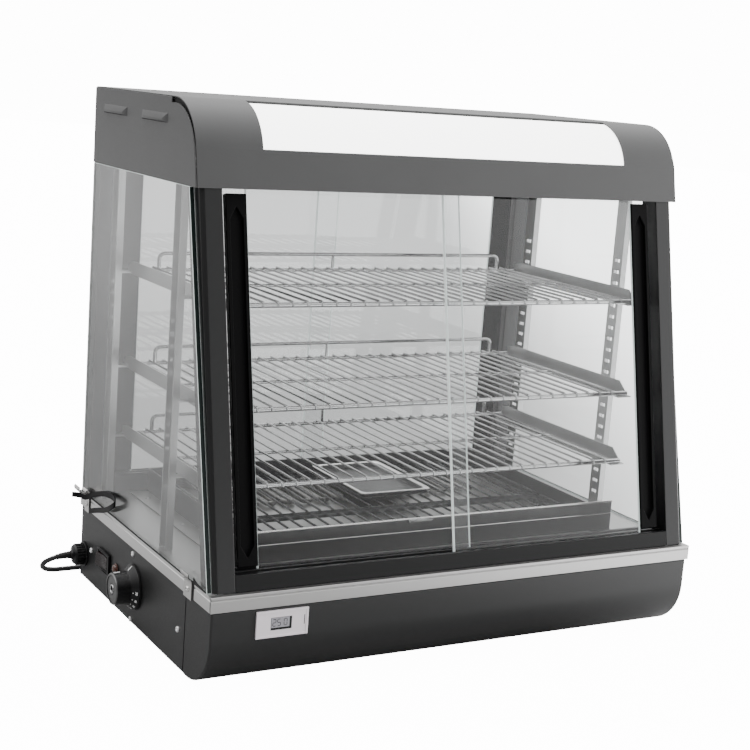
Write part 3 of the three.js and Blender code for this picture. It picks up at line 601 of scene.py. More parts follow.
piece("trim_front", cross_strip(0, 1), SATIN_ACROSS_PAINTED_DARKER, replaces=("trim_strip",))
piece("trim_rear", cross_strip(CASE_D, -1), SATIN_ACROSS_PAINTED_DARKER)
for name, side in SIDES:
    bm = bmesh.new()
    outer, wall, flange = side * HALF_W, side * (HALF_W - SHEET), side * (HALF_W - TRIM_FLANGE)
    upright = [(outer, TRIM_Z0), *groove(outer, -side), (outer, TRIM_Z1), (wall, TRIM_Z1), (wall, TRIM_Z0)]
    prism(bm, "y", upright, 3.4, CASE_D - 1.8)
    prism(bm, "y", [(wall, TRIM_UNDER), (wall, TRIM_Z1), (flange, TRIM_Z1), (flange, TRIM_UNDER)],
          8.3, CASE_D - 8.3)
    bmesh.ops.remove_doubles(bm, verts=bm.verts[:], dist=0.001)
    soften(bm, 0.5, segments=2)
    piece(f"trim_{name}", bm, SATIN_ALONG_PAINTED_LIGHTER)

# Painted shade: a dark core inside the trim, under the pressed line
bm = bmesh.new()
slab(bm, -HALF_W + 2.6, HALF_W - 2.6, 2.6, CASE_D - 2.6, TRIM_Z0 - 0.2, TRIM_Z0 + 12)
piece("trim_core", bm, DARK)


# ---------------------------------------------------------------- frame, doors, panes
for name, side in SIDES:
    dress(f"front_post_{name}", FRAME_BLACK, 0.6)
    dress(f"rear_post_{name}", FRAME_BLACK, 0.6)
    for end in ("front", "rear"):
        dress(f"{end}_{name}_stile", STILE_BLACK, 0.9, 3)
        dress(f"upright_{end}_{name}", ZINC, 0.3, 1)
    for level in (1, 2, 3):
        dress(f"bracket_{level}_{name}", ZINC, 0.3, 1)
dress("front_track", TRACK_BLACK, 0.6)
dress("rear_track", FRAME_BLACK, 0.6)
dress("ceiling_panel", ZINC, 0.4, 1)
dress("lamp_fixture", DIFFUSER, 0.4, 1)


def edged(bm):
    """The big faces stay clear glass. The cut edges and their narrow bevels get their own finishes: a
    painted glow, and on the side panes' cut edges a painted shade.
    """
    biggest = max(f.calc_area() for f in bm.faces)
    for face in bm.faces:
        wide = face.calc_area() / max(e.calc_length() for e in face.edges)
        face.material_index = 0 if face.calc_area() > biggest * 0.5 else (1 if wide > 1.0 else 2)


def pane(name, node_name, body, clear, x, y, z, at):
    """A sliding door's glass."""
    bm = bmesh.new()
    slab(bm, *x, *y, *z)
    soften(bm, 0.45, segments=1)
    edged(bm)
    piece(name, bm, [clear, GLOWING_PANE_EDGE, GLOWING_PANE_EDGE], body, (node_name,), at)


PANE, LAP = 2.5, 14
FRONT_STILE_IN, REAR_STILE_IN = 262.7, 261.7
for name, side, v in (("right", 1, 9), ("left", -1, 20)):
    pane(f"front_{name}_pane", f"front_{name}_glass", f"front_{name}_door", GLASS["front"],
         span(side, -LAP, FRONT_STILE_IN), (v - PANE, v + PANE), (7.5, 454), SLOPE)
for name, side, y, near in (("right", 1, 417.5, -20), ("left", -1, 427.5, -16)):
    pane(f"rear_{name}_pane", f"rear_{name}_glass", f"rear_{name}_door", GLASS["rear"],
         span(side, near, REAR_STILE_IN), (y - PANE, y + PANE), (120, 552), CASE)

# Fixed side panes, each on a thin gasket; the left gasket has a torn-up tab near its front
GASKET_X = (HALF_W - 0.1, HALF_W + 0.5)
for name, side in SIDES:
    bm = bmesh.new()
    prism(bm, "x", [(12.9, FLOOR_Z), (431, FLOOR_Z), (431, 534.5), (117, 534.5)], *span(side, 324, 329.8))
    soften(bm, 0.45, segments=1)
    edged(bm)
    # Their cut edges get the near-black painted shade, and their bevels get the painted glow
    piece(f"side_pane_{name}", bm, [GLASS[f"side_{name}"], SHADED_PANE_EDGE, GLOWING_PANE_EDGE],
          replaces=(f"side_glass_{name}",))
    bm = bmesh.new()
    slab(bm, *span(side, *GASKET_X), 15, 431, FLOOR_Z - 0.1, FLOOR_Z + 2.1)
    if side < 0:
        prism(bm, "x", [(50, 109.9), (50, 114.5), (40, 111.5), (24, 109.9)], *span(side, *GASKET_X))
    piece(f"pane_gasket_{name}", bm, RUBBER)


# ---------------------------------------------------------------- hood
WINDOW_STEPS = 20
WINDOW_ROWS = (2, 2 + WINDOW_STEPS)


def hood_line(inset):
    """The hood's outline from the foot of its face, over the arc and back along the roof."""
    foot = (HOOD_FRONT_Y + inset / math.cos(LEAN), HOOD_Z0)
    centre = (HOOD_ARC_Y, HOOD_ARC_Z, HOOD_R - inset)
    low = 180 - math.degrees(math.asin((WINDOW_Z - centre[1]) / centre[2]))
    high = 180 - math.degrees(math.acos((centre[0] - WINDOW_Y) / centre[2]))
    roof, back = HOOD_Z1 - inset, BASE_REAR - inset
    return ([foot] + arc(*centre, 180 - math.degrees(LEAN), low, 1)
            + arc(*centre, low, high, WINDOW_STEPS)[1:] + arc(*centre, high, 90, 2)[1:]
            + [(300, roof), (back, roof), (back, HOOD_Z0)])


def hood_arc(inset, start, end, steps):
    """Points at a depth inside the hood's arc."""
    return arc(HOOD_ARC_Y, HOOD_ARC_Z, HOOD_R - inset, start, end, steps)


bm = bmesh.new()
skin_half = HALF_W - 1.8
columns = [-skin_half, -WINDOW_HALF, WINDOW_HALF, skin_half]
shells = [[[bm.verts.new((x, y, z)) for x in columns] for y, z in hood_line(inset)]
          for inset in (0, SHEET)]
last = len(shells[0]) - 1
for shell in shells:
    for i in range(last):
        for j in range(3):
            if not (j == 1 and WINDOW_ROWS[0] <= i < WINDOW_ROWS[1]):
                bm.faces.new((shell[i][j], shell[i + 1][j], shell[i + 1][j + 1], shell[i][j + 1]))


def wall(row_a, row_b, first, second):
    """The thickness of the sheet between two of its corners."""
    bm.faces.new((shells[0][row_a][first], shells[0][row_b][second],
                  shells[1][row_b][second], shells[1][row_a][first]))


for i in range(last):
    wall(i, i + 1, 0, 0)
    wall(i, i + 1, 3, 3)
    if WINDOW_ROWS[0] <= i < WINDOW_ROWS[1]:
        wall(i, i + 1, 1, 1)
        wall(i, i + 1, 2, 2)
for j in range(3):
    wall(0, 0, j, j + 1)
    wall(last, last, j, j + 1)
for row in WINDOW_ROWS:
    wall(row, row, 1, 2)
soften(bm, 0.5, angle=40, segments=2)
piece("hood_skin", bm, HOOD_POWDER, replaces=("hood_sheet",), angle=30)

# Slots in the hood's rear, drawn as dark slabs: painted shade in the openings
bm = bmesh.new()
for i in range(6):
    slab(bm, -175 + i * 60, -135 + i * 60, BASE_REAR - 0.5, BASE_REAR + 0.05, 590, 596)
soften(bm, 0.2, segments=1)
piece("hood_rear_vents", bm, DARK)


def side_outline():
    """A hood end plate: level with the roof, then stepped in along the arc."""
    back, roof, step_y = BASE_REAR - 1.2, HOOD_Z1 - 1.2, 178
    made = [(back, HOOD_Z0), (back, roof), (step_y, roof), (step_y, HOOD_Z1 - 7.6)]
    first, final, steps = 92, 167.8, 24
    for i in range(steps + 1):
        gap = 0.6 + 6.6 * (1 - i / steps) ** 0.9
        angle = first + (final - first) * i / steps
        made += hood_arc(gap, angle, angle, 1)[:1]
    return made + [(HOOD_FRONT_Y + 0.6, HOOD_Z0)]


# Hood end plates with two hooded louvres each
for name, side in SIDES:
    bm = bmesh.new()
    prism(bm, "x", side_outline(), *span(side, HALF_W - SHEET, HALF_W))
    soften(bm, 0.4, angle=40, segments=2)
    for y0, y1 in ((187, 268), (317, 398)):
        low = [(y0, 598), (y1, 598), (y1, 609), (y0, 609)]
        ridge = [(y0 + 9, 599.5), (y1 - 9, 599.5), (y1 - 9, 602.5), (y0 + 9, 602.5)]
        base = [bm.verts.new((side * (HALF_W - 0.2), y, z)) for y, z in low]
        top = [bm.verts.new((side * (HALF_W + 3.8), y, z)) for y, z in ridge]
        bm.faces.new(base)
        bm.faces.new(top)
        slopes = [bm.faces.new((base[i - 1], base[i], top[i], top[i - 1])) for i in range(4)]
        # The lower slope of each louvre is painted shade
        slopes[1].material_index = 1
    piece(f"hood_end_{name}", bm, [HOOD_POWDER, DARK], replaces=(f"hood_side_{name}",))

# Diffuser behind the window
bm = bmesh.new()
prism(bm, "x", hood_arc(1.9, 180, 101, 36) + hood_arc(4.6, 101, 180, 36),
      -WINDOW_HALF - 12, WINDOW_HALF + 12)
piece("lamp_diffuser", bm, DIFFUSER, replaces=("diffuser",))

# Painted shade: dark sheets round the lamp, under the window's top edge and inside the end plates' gaps
bm = bmesh.new()
slab(bm, -WINDOW_HALF - 20, WINDOW_HALF + 20, 152, 200, 618, 620)
slab(bm, -322, 322, 205, 206, 560, 622)
prism(bm, "x", hood_arc(0.6, 96.5, 101, 4) + hood_arc(1.6, 101, 96.5, 4),
      -WINDOW_HALF + 0.3, WINDOW_HALF - 0.3)
for _, side in SIDES:
    prism(bm, "x", hood_arc(1.7, 80, 172, 30) + hood_arc(12, 172, 80, 30), *span(side, 325, 326.5))
piece("hood_liner", bm, DARK)


# ---------------------------------------------------------------- wire shelves
SLOT_Z, SLOT_PITCH = 134, 15


def shelf(level, slot_number):
    """A welded shelf that hangs in the brackets of one row of slots, with a rail at its rear."""
    bracket_z = SLOT_Z + slot_number * SLOT_PITCH + 5.5
    rod = bracket_z - 8.5 + 1.5 + 0.3 + 3
    rung = rod + 3 + 1.5 - 0.8
    bm = bmesh.new()
    tube(bm, [(-285, 104, rod), (285, 104, rod)], 3.0, 16)
    tube(bm, [(-271, 242, rod + 1), (271, 242, rod + 1)], 2.0, 10)
    tube(bm, [(-285, 380, rod + 0.5), (285, 380, rod + 0.5)], 2.5, 12)
    for side in (-1, 1):
        tube(bm, [(side * 270, 104, rod), (side * 270, 380, rod)], 2.5, 12)
    rungs = 29
    for i in range(rungs):
        x = -260 + i * 520 / (rungs - 1)
        tube(bm, rounded([(x, 381, rung), (x, 103, rung), (x, 100.6, rod - 1.5)], 3), 1.5, 8)
    top = rod + 21.5
    tube(bm, rounded([(-253, 380, rod), (-253, 380, top), (253, 380, top), (253, 380, rod)], 9, 6), 2.5, 12)
    tube(bm, [(-11, 380, rod), (-11, 380, top)], 2.0, 8)
    piece(f"wire_shelf_{level}", bm, CHROME, replaces=(f"shelf_{level}",), angle=60)


for level, slot_number in enumerate((18, 10, 4), 1):
    shelf(level, slot_number)

# Bottom rack in two sections
bm = bmesh.new()
RACK_Z, RACK_RUNGS = 121.5, 27
for y0, y1 in ((92, 203), (217, 397)):
    for y in (y0, y1):
        tube(bm, [(-240, y, RACK_Z), (240, y, RACK_Z)], 2.5, 10)
    for i in range(RACK_RUNGS):
        x = -238 + i * 476 / (RACK_RUNGS - 1)
        over = [(x, y0 - 2.4, 121.0), (x, y0 - 1.5, 124.7), (x, y1 + 1.5, 124.7), (x, y1 + 2.4, 121.0)]
        tube(bm, rounded(over, 2.5, 3), 1.5, 8)
    for x in (-238, 238):
        for y in (y0, y1):
            tube(bm, [(x, y, 109.5), (x, y, RACK_Z)], 2.2, 8)
piece("wire_rack", bm, DARK_CHROME, replaces=("bottom_rack",), angle=60)

# Heating element: a serpentine of narrow hairpins over the rear of the box
bm = bmesh.new()
route, pitch, legs = [], 13.0, 29
for i in range(legs):
    x = -182 + i * pitch
    near, far = (x, 292, 114.2), (x, 388, 114.2)
    route += [far, near] if i % 2 == 0 else [near, far]
tube(bm, rounded(route, 6.3, 5), 3.2, 8)
piece("heater_coil", bm, SHEATH, replaces=("heating_element",), angle=60)

# Heater box: a floor, a front wall in two heights, a rear wall and two end walls
bm = bmesh.new()
slab(bm, -269, 269, 87, 405, FLOOR_Z, FLOOR_Z + 1.5)
slab(bm, -235, 235, 60, 87.5, FLOOR_Z, FLOOR_Z + 1.5)
slab(bm, -267, 267, 87, 88.5, FLOOR_Z + 1, 131)
slab(bm, -267, 267, 87.4, 88.9, 131, 145)
slab(bm, -245, 245, 403.5, 405, FLOOR_Z, 140)
for side in (-1, 1):
    slab(bm, *span(side, 243.5, 245), 88, 404, FLOOR_Z, 140)
soften(bm, 0.35, segments=2)
bmesh.ops.recalc_face_normals(bm, faces=bm.faces[:])
# Painted light: the upward faces of the floor get a much lighter copy of the pan steel
for face in bm.faces:
    face.material_index = 1 if face.normal.z > 0.9 and face.calc_center_median().z < FLOOR_Z + 2 else 0
piece("heater_pan", bm, [PAN_STEEL, PAN_FLOOR_PAINTED_LIGHT], replaces=("heater_box",))

# Its rolled lip and a small tab in bright polished steel, with the lip's brightness a painted highlight,
# and a thin bright line under the lip that is only a painted highlight on the crease
bm = bmesh.new()
tube(bm, [(-267, 88.2, 146.4), (267, 88.2, 146.4)], 1.4, 12)
tube(bm, [(-266, 86.5, 131), (266, 86.5, 131)], 0.6, 8)
slab(bm, -40, -6, 84.8, 86.2, 143.2, 147.4)
piece("pan_hem", bm, POLISHED)

# Screws in the box's floor
bm = bmesh.new()
SCREW = [(3.5, 0), (3.3, 1.0), (2.4, 1.6), (1.3, 1.7), (0.7, 0.9), (0, 0.8)]
for x in (-114, -62, 1, 129):
    lathe(bm, SCREW, (x, 74, FLOOR_Z + 1.4), "z", 20)
for side in (-1, 1):
    for y in (120, 250, 370):
        lathe(bm, SCREW, (side * 258, y, FLOOR_Z + 1.4), "z", 20)
piece("pan_screws", bm, ZINC)

# Water tray: a pressed dish with a rolled rim and rounded corners
bm = bmesh.new()
cx, cy, half_x, half_y = 33.5, 315.0, 52.5, 75.0
z0 = RACK_Z + 3.2 + 1.5 + 0.3
under = [(11.1, 0.0, 12), (8.0, 0.2, 10), (3.0, 0.6, 6), (0.8, 1.0, 4), (0.3, 1.8, 3), (0.8, 2.6, 3),
         (1.6, 2.9, 3), (1.6, 6.1, 3)]
over = [(0.0, 6.2, 3), (0.0, 7.4, 3), (0.8, 8.0, 3), (4.6, 8.0, 6), (5.8, 6.6, 8), (6.8, 2.6, 9),
        (8.6, 1.2, 10), (11.5, 1.0, 12)]
rings = []
for inset, z, r in under + over:
    outline = round_box(half_x - inset, half_y - inset, r + 4, 5)
    rings.append([bm.verts.new((cx + u, cy + v, z0 + z)) for u, v in outline])
loft(bm, rings)
bmesh.ops.recalc_face_normals(bm, faces=bm.faces[:])
# Painted shade: faces that point up and lie below 6 mm, and all faces 2.7 to 6.2 mm high, get the dark pan
# steel. The rim and underside stay bright polished steel
for face in bm.faces:
    height = face.calc_center_median().z - z0
    face.material_index = 1 if (face.normal.z > 0.3 and height < 6.0) or 2.7 < height < 6.2 else 0
piece("water_dish", bm, [POLISHED, PAN_STEEL], "water_tray", ("water_tray",), angle=50)


# ---------------------------------------------------------------- controls
def at_panel(spot):
    return (PANEL_X, spot[0], spot[1])


# Dial plate, with the thermostat behind the panel
bm = bmesh.new()
lathe(bm, [(0, 0.3), (27.4, 0.3), (28, 0.7), (28, 1.2), (27.6, 1.5), (0, 1.5)], at_panel(DIAL), segments=64)
slab(bm, PANEL_X + 1.8, PANEL_X + 34, DIAL[0] - 20, DIAL[0] + 20, DIAL[1] - 20, DIAL[1] + 20)
piece("dial_plate", bm, PLASTIC, replaces=("thermostat",))

SKIRT_FOOT, SKIRT_TOP = (27.4, 3.5), (21.0, 9.6)


def on_skirt(angle, r):
    """A place on the knob's sloped skirt, and how a flat mark lies on it: its -X points out."""
    run, rise = SKIRT_FOOT[0] - SKIRT_TOP[0], SKIRT_TOP[1] - SKIRT_FOOT[1]
    out = SKIRT_FOOT[1] + (SKIRT_FOOT[0] - r) * rise / run
    slope = math.atan2(run, rise)
    return (Matrix.Translation(at_panel(DIAL)) @ Matrix.Rotation(angle, 4, "X")
            @ Matrix.Translation((-out, r, 0)) @ Matrix.Rotation(slope - math.pi / 2, 4, "Z"))


NUMBERS = [(str(30 + 10 * i), math.radians(180 + i * 24)) for i in range(9)]
bm = bmesh.new()
for angle in [math.radians(93)] + [angle for text, angle in NUMBERS]:
    long, wide, r = (6.4, 1.4, 24.2) if angle < 2 else (1.4, 1.2, 21.7)
    bmesh.ops.create_cube(bm, size=1, matrix=on_skirt(angle, r) @ Matrix.Diagonal((0.3, long, wide, 1)))
piece("skirt_ticks", bm, PRINT, "knob")


def number(name, text, spot, size):
    """A printed number that stands a hair proud of the dial."""
    letters = bpy.data.curves.new(name, "FONT")
    letters.body, letters.size = text, size
    letters.extrude, letters.resolution_u, letters.offset = 0.12, 3, 0.12
    letters.align_x, letters.align_y = "CENTER", "CENTER"
    flat = bpy.data.objects.new(name, letters)
    mesh = bpy.data.meshes.new_from_object(flat)
    bpy.data.objects.remove(flat)
    turn = Matrix(((0, 0, -1, 0), (0, 1, 0, 0), (1, 0, 0, 0), (0, 0, 0, 1)))
    mesh.transform(spot @ turn)
    bm = bmesh.new()
    bm.from_mesh(mesh)
    bpy.data.meshes.remove(mesh)
    return piece(name, bm, PRINT, "knob")


for text, angle in NUMBERS:
    number(f"skirt_number_{text}", text, on_skirt(angle, 25.0), 4.2)

# Knob: its skirt and grip in one, then its rim and face, its bright eye and its pointer
bm = bmesh.new()
lathe(bm, [(0, 18), (3.4, 18), (3.4, 1.9), (27.2, 1.9), (27.6, 2.4), SKIRT_FOOT, SKIRT_TOP, (20.5, 10.6),
           (19.6, 26), (19.2, 27.4), (18.4, 28.3), (17.0, 28.5), (15.6, 27.6), (9.5, 27.2), (0, 27.2)],
      at_panel(DIAL), segments=72)
piece("knob_grip", bm, PLASTIC, "knob", ("knob",), angle=40)
bm = bmesh.new()
lathe(bm, [(19.3, 27.3), (18.5, 28.45), (17.1, 28.7), (16.4, 28.4), (17.0, 28.0), (18.2, 27.6),
           (19.3, 27.3)], at_panel(DIAL), segments=72)
lathe(bm, [(16.0, 27.25), (16.0, 27.6), (6.8, 27.6), (6.8, 27.25), (16.0, 27.25)],
      at_panel(DIAL), segments=72)
piece("knob_rings", bm, RIM_PLASTIC, "knob", angle=40)
bm = bmesh.new()
lathe(bm, [(6.0, 27.0), (6.0, 27.8), (5.6, 28.3), (4.2, 28.3), (3.8, 27.8), (3.8, 27.0), (6.0, 27.0)],
      at_panel(DIAL), segments=48)
piece("knob_eye", bm, CHROME, "knob", angle=40)
bm = bmesh.new()
slab(bm, PANEL_X - 26, PANEL_X - 18.5, DIAL[0] - 0.9, DIAL[0] + 0.9, DIAL[1] + 19.3, DIAL[1] + 20.5)
piece("knob_mark", bm, PRINT, "knob")

# Switch: a raised frame with a well behind it, and a rocker with a hollow face


def frame_slabs(bm, x0, x1, outer, inner):
    """Four slabs round an opening in the panel, from its (half width, half height) outwards."""
    y, z = SWITCH
    (a, b), (c, d) = outer, inner
    for u0, u1, v0, v1 in ((-a, -c, -b, b), (c, a, -b, b), (-c, c, -b, -d), (-c, c, d, b)):
        slab(bm, x0, x1, y + u0, y + u1, z + v0, z + v1)


y, z = SWITCH
bm = bmesh.new()
frame_slabs(bm, PANEL_X - 3.6, PANEL_X - 0.3, (21, 12.8), (17, 9.5))
bmesh.ops.remove_doubles(bm, verts=bm.verts[:], dist=0.001)
doubled = [f for f in bm.faces if all(len(e.link_faces) > 2 for e in f.edges)]
bmesh.ops.delete(bm, geom=doubled, context="FACES")
soften(bm, 0.7, segments=2)
frame_slabs(bm, PANEL_X - 0.4, PANEL_X + 24, (19, 11), (17.2, 9.7))
slab(bm, PANEL_X + 9, PANEL_X + 24, y - 17, y + 17, z - 9.5, z + 9.5)
piece("switch_frame", bm, PLASTIC, replaces=("switch_body",))

bm = bmesh.new()
pressed = Matrix.Translation((PANEL_X + 1, y, z)) @ Matrix.Rotation(math.radians(8), 4, "Z")
face_in = [(-7.0, 15.0), (-6.2, 11), (-5.3, 6), (-4.7, 0), (-5.3, -6), (-6.2, -11), (-7.0, -15.0)]
prism(bm, "z", [(3, -14.5), (3, 14.5)] + face_in, -8.4, 8.4)
soften(bm, 0.6, segments=2)
bm.transform(pressed)
piece("rocker_cap", bm, ROCKER, "rocker", ("rocker",), angle=30)

# Indicator lamp
bm = bmesh.new()
lathe(bm, [(0, 0.3), (6.2, 0.3), (6.6, 0.8), (6.5, 1.4), (5.6, 1.9), (5.5, 3.2), (4.9, 4.3), (3.4, 5.2),
           (1.6, 5.6), (0, 5.7)], at_panel(LAMP), segments=36)
piece("lamp_lens", bm, RED_LENS, replaces=("indicator_lamp",), angle=50)

# Cord gland: a flange, a ribbed nut and a domed cap
bm = bmesh.new()
lathe(bm, [(0, 0.3), (15.8, 0.3), (16.2, 0.6), (16.2, 2.2), (15.8, 2.6), (0, 2.6)],
      at_panel(GLAND), segments=48)
outline, corners = [], 48
for i in range(corners):
    r = 14.0 if i % 2 == 0 else 13.2
    a = 2 * math.pi * i / corners
    outline.append((GLAND[0] + r * math.cos(a), GLAND[1] + r * math.sin(a)))
prism(bm, "x", outline, PANEL_X - 13.2, PANEL_X - 2.7)
lathe(bm, [(0, 13.1), (13.2, 13.1), (12.0, 15.4), (9, 16.4), (6.4, 17.0), (5.8, 18.6), (0, 18.6)],
      at_panel(GLAND), segments=40)
piece("cable_gland", bm, PLASTIC, replaces=("gland",))

# Screws on the side panels
bm = bmesh.new()
for y, z in ((391, 38.6), (241.5, 81), (92.6, 39), (241, -1.4)):
    lathe(bm, SCREW, (PANEL_X, y, z), "-x", 20)
    lathe(bm, SCREW, (-PANEL_X, y, z), "x", 20)
piece("panel_screws", bm, SCREW_STEEL)

# Thermometer on the front: a bezel with a raised rim, painted shade round its display and in a slot, its
# display and its digits
bm = bmesh.new()
BEZEL_X0, BEZEL_X1, BEZEL_Z0, BEZEL_Z1, RIM = -275, -212, 54.5, 85.3, 2.2
slab(bm, BEZEL_X0, BEZEL_X1, -0.2, 1.7, BEZEL_Z0, BEZEL_Z1)
for x0, x1, z0, z1 in ((BEZEL_X0, BEZEL_X0 + RIM, BEZEL_Z0, BEZEL_Z1),
                       (BEZEL_X1 - RIM, BEZEL_X1, BEZEL_Z0, BEZEL_Z1),
                       (BEZEL_X0 + RIM, BEZEL_X1 - RIM, BEZEL_Z0, BEZEL_Z0 + RIM),
                       (BEZEL_X0 + RIM, BEZEL_X1 - RIM, BEZEL_Z1 - RIM, BEZEL_Z1)):
    slab(bm, x0, x1, -0.8, -0.1, z0, z1)
piece("thermometer_bezel", bm, WHITE_PLASTIC, replaces=("thermometer",))
bm = bmesh.new()
# A dark slab a little larger than the display paints the shade of its recess walls below and to the right,
# and a thin one paints a slot
slab(bm, -257.5, -232.0, -0.34, -0.15, 62.8, 77.2)
slab(bm, -216.9, -216.1, -0.34, -0.15, 66.0, 77.0)
piece("thermometer_window", bm, DARK)
bm = bmesh.new()
slab(bm, -257.0, -234.9, -0.44, -0.3, 65.4, 76.9)
piece("thermometer_lcd", bm, LCD)
bm = bmesh.new()
SEGMENTS = {"a": (0, 1, True), "b": (1, 0.5, False), "c": (1, 0, False), "d": (0, 0, True),
            "e": (0, 0, False), "f": (0, 0.5, False), "g": (0, 0.5, True)}
for digit, x in (("abged", -255.2), ("acdfg", -249.6), ("abcdef", -241.6)):
    for key in digit:
        u, v, across = SEGMENTS[key]
        px, pz = x + u * 3.6, 67.4 + v * 7.6
        if across:
            slab(bm, px + 0.3, px + 3.3, -0.52, -0.42, pz - 0.35, pz + 0.35)
        else:
            slab(bm, px - 0.35, px + 0.35, -0.52, -0.42, pz + 0.3, pz + 3.5)
piece("thermometer_digits", bm, DARK)


# ---------------------------------------------------------------- glass clips
CLIP_X = HALF_W + 0.3


def bent_plate(bm, y, path, half):
    """A bent steel plate on the left side: (distance out, height) points and its half width."""
    rows = []
    for i, (x, z) in enumerate(path):
        a, b = path[max(i - 1, 0)], path[min(i + 1, len(path) - 1)]
        dx, dz = b[0] - a[0], b[1] - a[1]
        length = math.hypot(dx, dz)
        nx, nz = dz / length, -dx / length
        rows.append([bm.verts.new((-CLIP_X - x - nx * t, y + v, z + nz * t))
                     for t, v in ((0, -half), (CLIP_SHEET, -half), (CLIP_SHEET, half), (0, half))])
    loft(bm, rows)


FRONT_CLIP_Y, REAR_CLIP_Y, CLIP_SHEET = 62, 405, 1.3
bm = bmesh.new()
bent_plate(bm, FRONT_CLIP_Y, [(0, 87.2), (0, 105), (0.4, 108.5), (2.0, 111.8), (4.0, 113.0), (5.2, 115.2),
                              (4.6, 117.6)], 11)
lathe(bm, SCREW, (-CLIP_X - CLIP_SHEET, FRONT_CLIP_Y, 97.5), "-x", 20)
piece("clip_front_left", bm, POLISHED, replaces=("glass_clip_front",), angle=50)

# The rear clip has two horns: one stands up at the glass, the other reaches out over the strap
bm = bmesh.new()
bent_plate(bm, REAR_CLIP_Y, [(0, 87.2), (0, 108.5), (0.2, 112.5), (1.2, 116), (3.4, 118.2), (5.6, 117.4),
                             (6.2, 115.6)], 8)
bent_plate(bm, REAR_CLIP_Y, [(1.6, 108), (3.0, 112.4), (6.5, 114.4), (11, 115.4), (14.2, 117.6),
                             (15, 120.4), (13.4, 122)], 9.5)
lathe(bm, SCREW, (-CLIP_X - CLIP_SHEET, REAR_CLIP_Y, 97.5), "-x", 20)
piece("clip_rear_left", bm, POLISHED, replaces=("glass_clip_rear",), angle=50)

# Painted shadows: black slabs between the clips and the trim, reaching out past the clips, for the shade
# line round them
bm = bmesh.new()
slab(bm, -CLIP_X + 0.05, -CLIP_X + 0.28, 47.2, 72.4, 88, 107.3)
slab(bm, -CLIP_X + 0.05, -CLIP_X + 0.28, 393.5, 412.4, 88, 107.3)
piece("clip_pads", bm, RUBBER)

# Rubber strap under the rear clip: it loops forwards along the glass and round behind the clip
STRAP = smooth_route([
    (-332.4, 391, 92), (-333.4, 360, 102), (-336, 323, 113), (-338, 297, 124), (-337, 286, 132),
    (-333.4, 302, 134.5), (-332.4, 330, 131), (-332.4, 358, 124), (-332.8, 383, 115.5), (-334.4, 400, 108),
    (-337.5, 416, 106.5), (-341, 424, 105.5), (-342.5, 431, 104)], 6)
bm = bmesh.new()
rows = []
for i, p in enumerate(STRAP):
    along = STRAP[min(i + 1, len(STRAP) - 1)] - STRAP[max(i - 1, 0)]
    out = Vector((along.y, -along.x, 0)).normalized() * 0.8
    up = Vector((0, 0, 3.4))
    rows.append([bm.verts.new(p + a * out + b * up) for a, b in ((-1, -1), (1, -1), (1, 1), (-1, 1))])
loft(bm, rows)
piece("rubber_strap", bm, STILE_BLACK, angle=50)


# ---------------------------------------------------------------- floor and light
bm = bmesh.new()
bmesh.ops.create_circle(bm, cap_ends=True, segments=96, radius=14)
mesh = bpy.data.meshes.new("floor")
bm.to_mesh(mesh)
bm.free()
floor = bpy.data.objects.new("floor", mesh)
scene.collection.objects.link(floor)
paper = finish("floor_paper", (0.30, 0.30, 0.30), 0.7, drift=0.01, patch=400, grain=30, bump=0.0)
lift = paper.node_tree


def floor_glow(axis, near, far, strength):
    """Light from the floor that rises along a direction over it, in metres."""
    along = node(lift, "VectorMath", operation="DOT_PRODUCT")
    along.inputs[1].default_value = axis
    lift.links.new(node(lift, "TexCoord").outputs["Object"], along.inputs[0])
    return ranged(lift, along.outputs["Value"], near, far, 0.0, strength, interpolation_type="SMOOTHSTEP")


def math_node(tree, operation, first, second):
    """Arithmetic on a socket and a socket or a number."""
    made = node(tree, "Math", operation=operation)
    tree.links.new(first, made.inputs[0])
    if isinstance(second, (int, float)):
        made.inputs[1].default_value = second
    else:
        tree.links.new(second, made.inputs[1])
    return made.outputs[0]


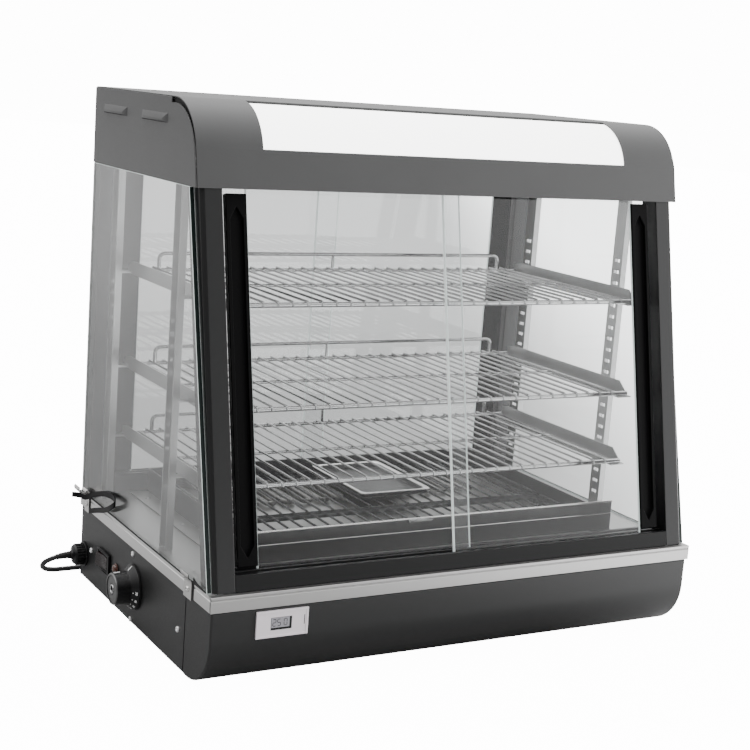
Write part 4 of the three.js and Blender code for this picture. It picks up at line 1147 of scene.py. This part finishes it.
def white_to_the_eye(tree):
    """A bright plain white that only the camera's own view of the surroundings has."""
    return math_node(tree, "MULTIPLY", node(tree, "LightPath").outputs["Is Camera Ray"], WHITE)


WHITE = 14.0
both = math_node(lift, "ADD", floor_glow((0.0, 1.0, 0.0), 0.4, 4.0, 0.45),
                 floor_glow((0.868, -0.497, 0.0), 0.2, 0.85, 2.9))
glow = node(lift, "Emission")
lift.links.new(math_node(lift, "MAXIMUM", white_to_the_eye(lift), both), glow.inputs["Strength"])
joined = node(lift, "AddShader")
lift.links.new(lift.nodes["Principled BSDF"].outputs["BSDF"], joined.inputs[0])
lift.links.new(glow.outputs["Emission"], joined.inputs[1])
lift.links.new(joined.outputs["Shader"], lift.nodes["Material Output"].inputs["Surface"])
mesh.materials.append(paper)
floor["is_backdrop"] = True

world = bpy.data.worlds.new("studio")
scene.world = world
world.use_nodes = True
sky = world.node_tree
direction = node(sky, "TexCoord").outputs["Generated"]


def lobe(axis, sharpness, strength):
    """A soft bright patch of sky round a direction."""
    facing = node(sky, "VectorMath", operation="DOT_PRODUCT")
    facing.inputs[1].default_value = Vector(axis).normalized()
    sky.links.new(direction, facing.inputs[0])
    lit = math_node(sky, "MAXIMUM", facing.outputs["Value"], 0.0)
    return math_node(sky, "MULTIPLY", math_node(sky, "POWER", lit, sharpness), strength)


LOBES = [((-0.25, 0.15, 0.95), 3, 3.8), ((0.62, -0.3, 0.72), 5, 1.6), ((0.9, -0.43, 0.1), 12, 5.0),
         ((0.4, 0.4, 0.8), 10, 1.6), ((-0.5, 0.85, 0.1), 6, 0.5), ((0.6, 0.8, 0.2), 4, 1.2)]
AMBIENT = 0.15
background = sky.nodes["Background"]
fill(background, {"Color": (1, 1, 1, 1)})
light = math_node(sky, "ADD", lobe(*LOBES[0]), AMBIENT)
for values in LOBES[1:]:
    light = math_node(sky, "ADD", light, lobe(*values))
sky.links.new(math_node(sky, "MAXIMUM", white_to_the_eye(sky), light), background.inputs["Strength"])


# ---------------------------------------------------------------- size
low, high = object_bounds()
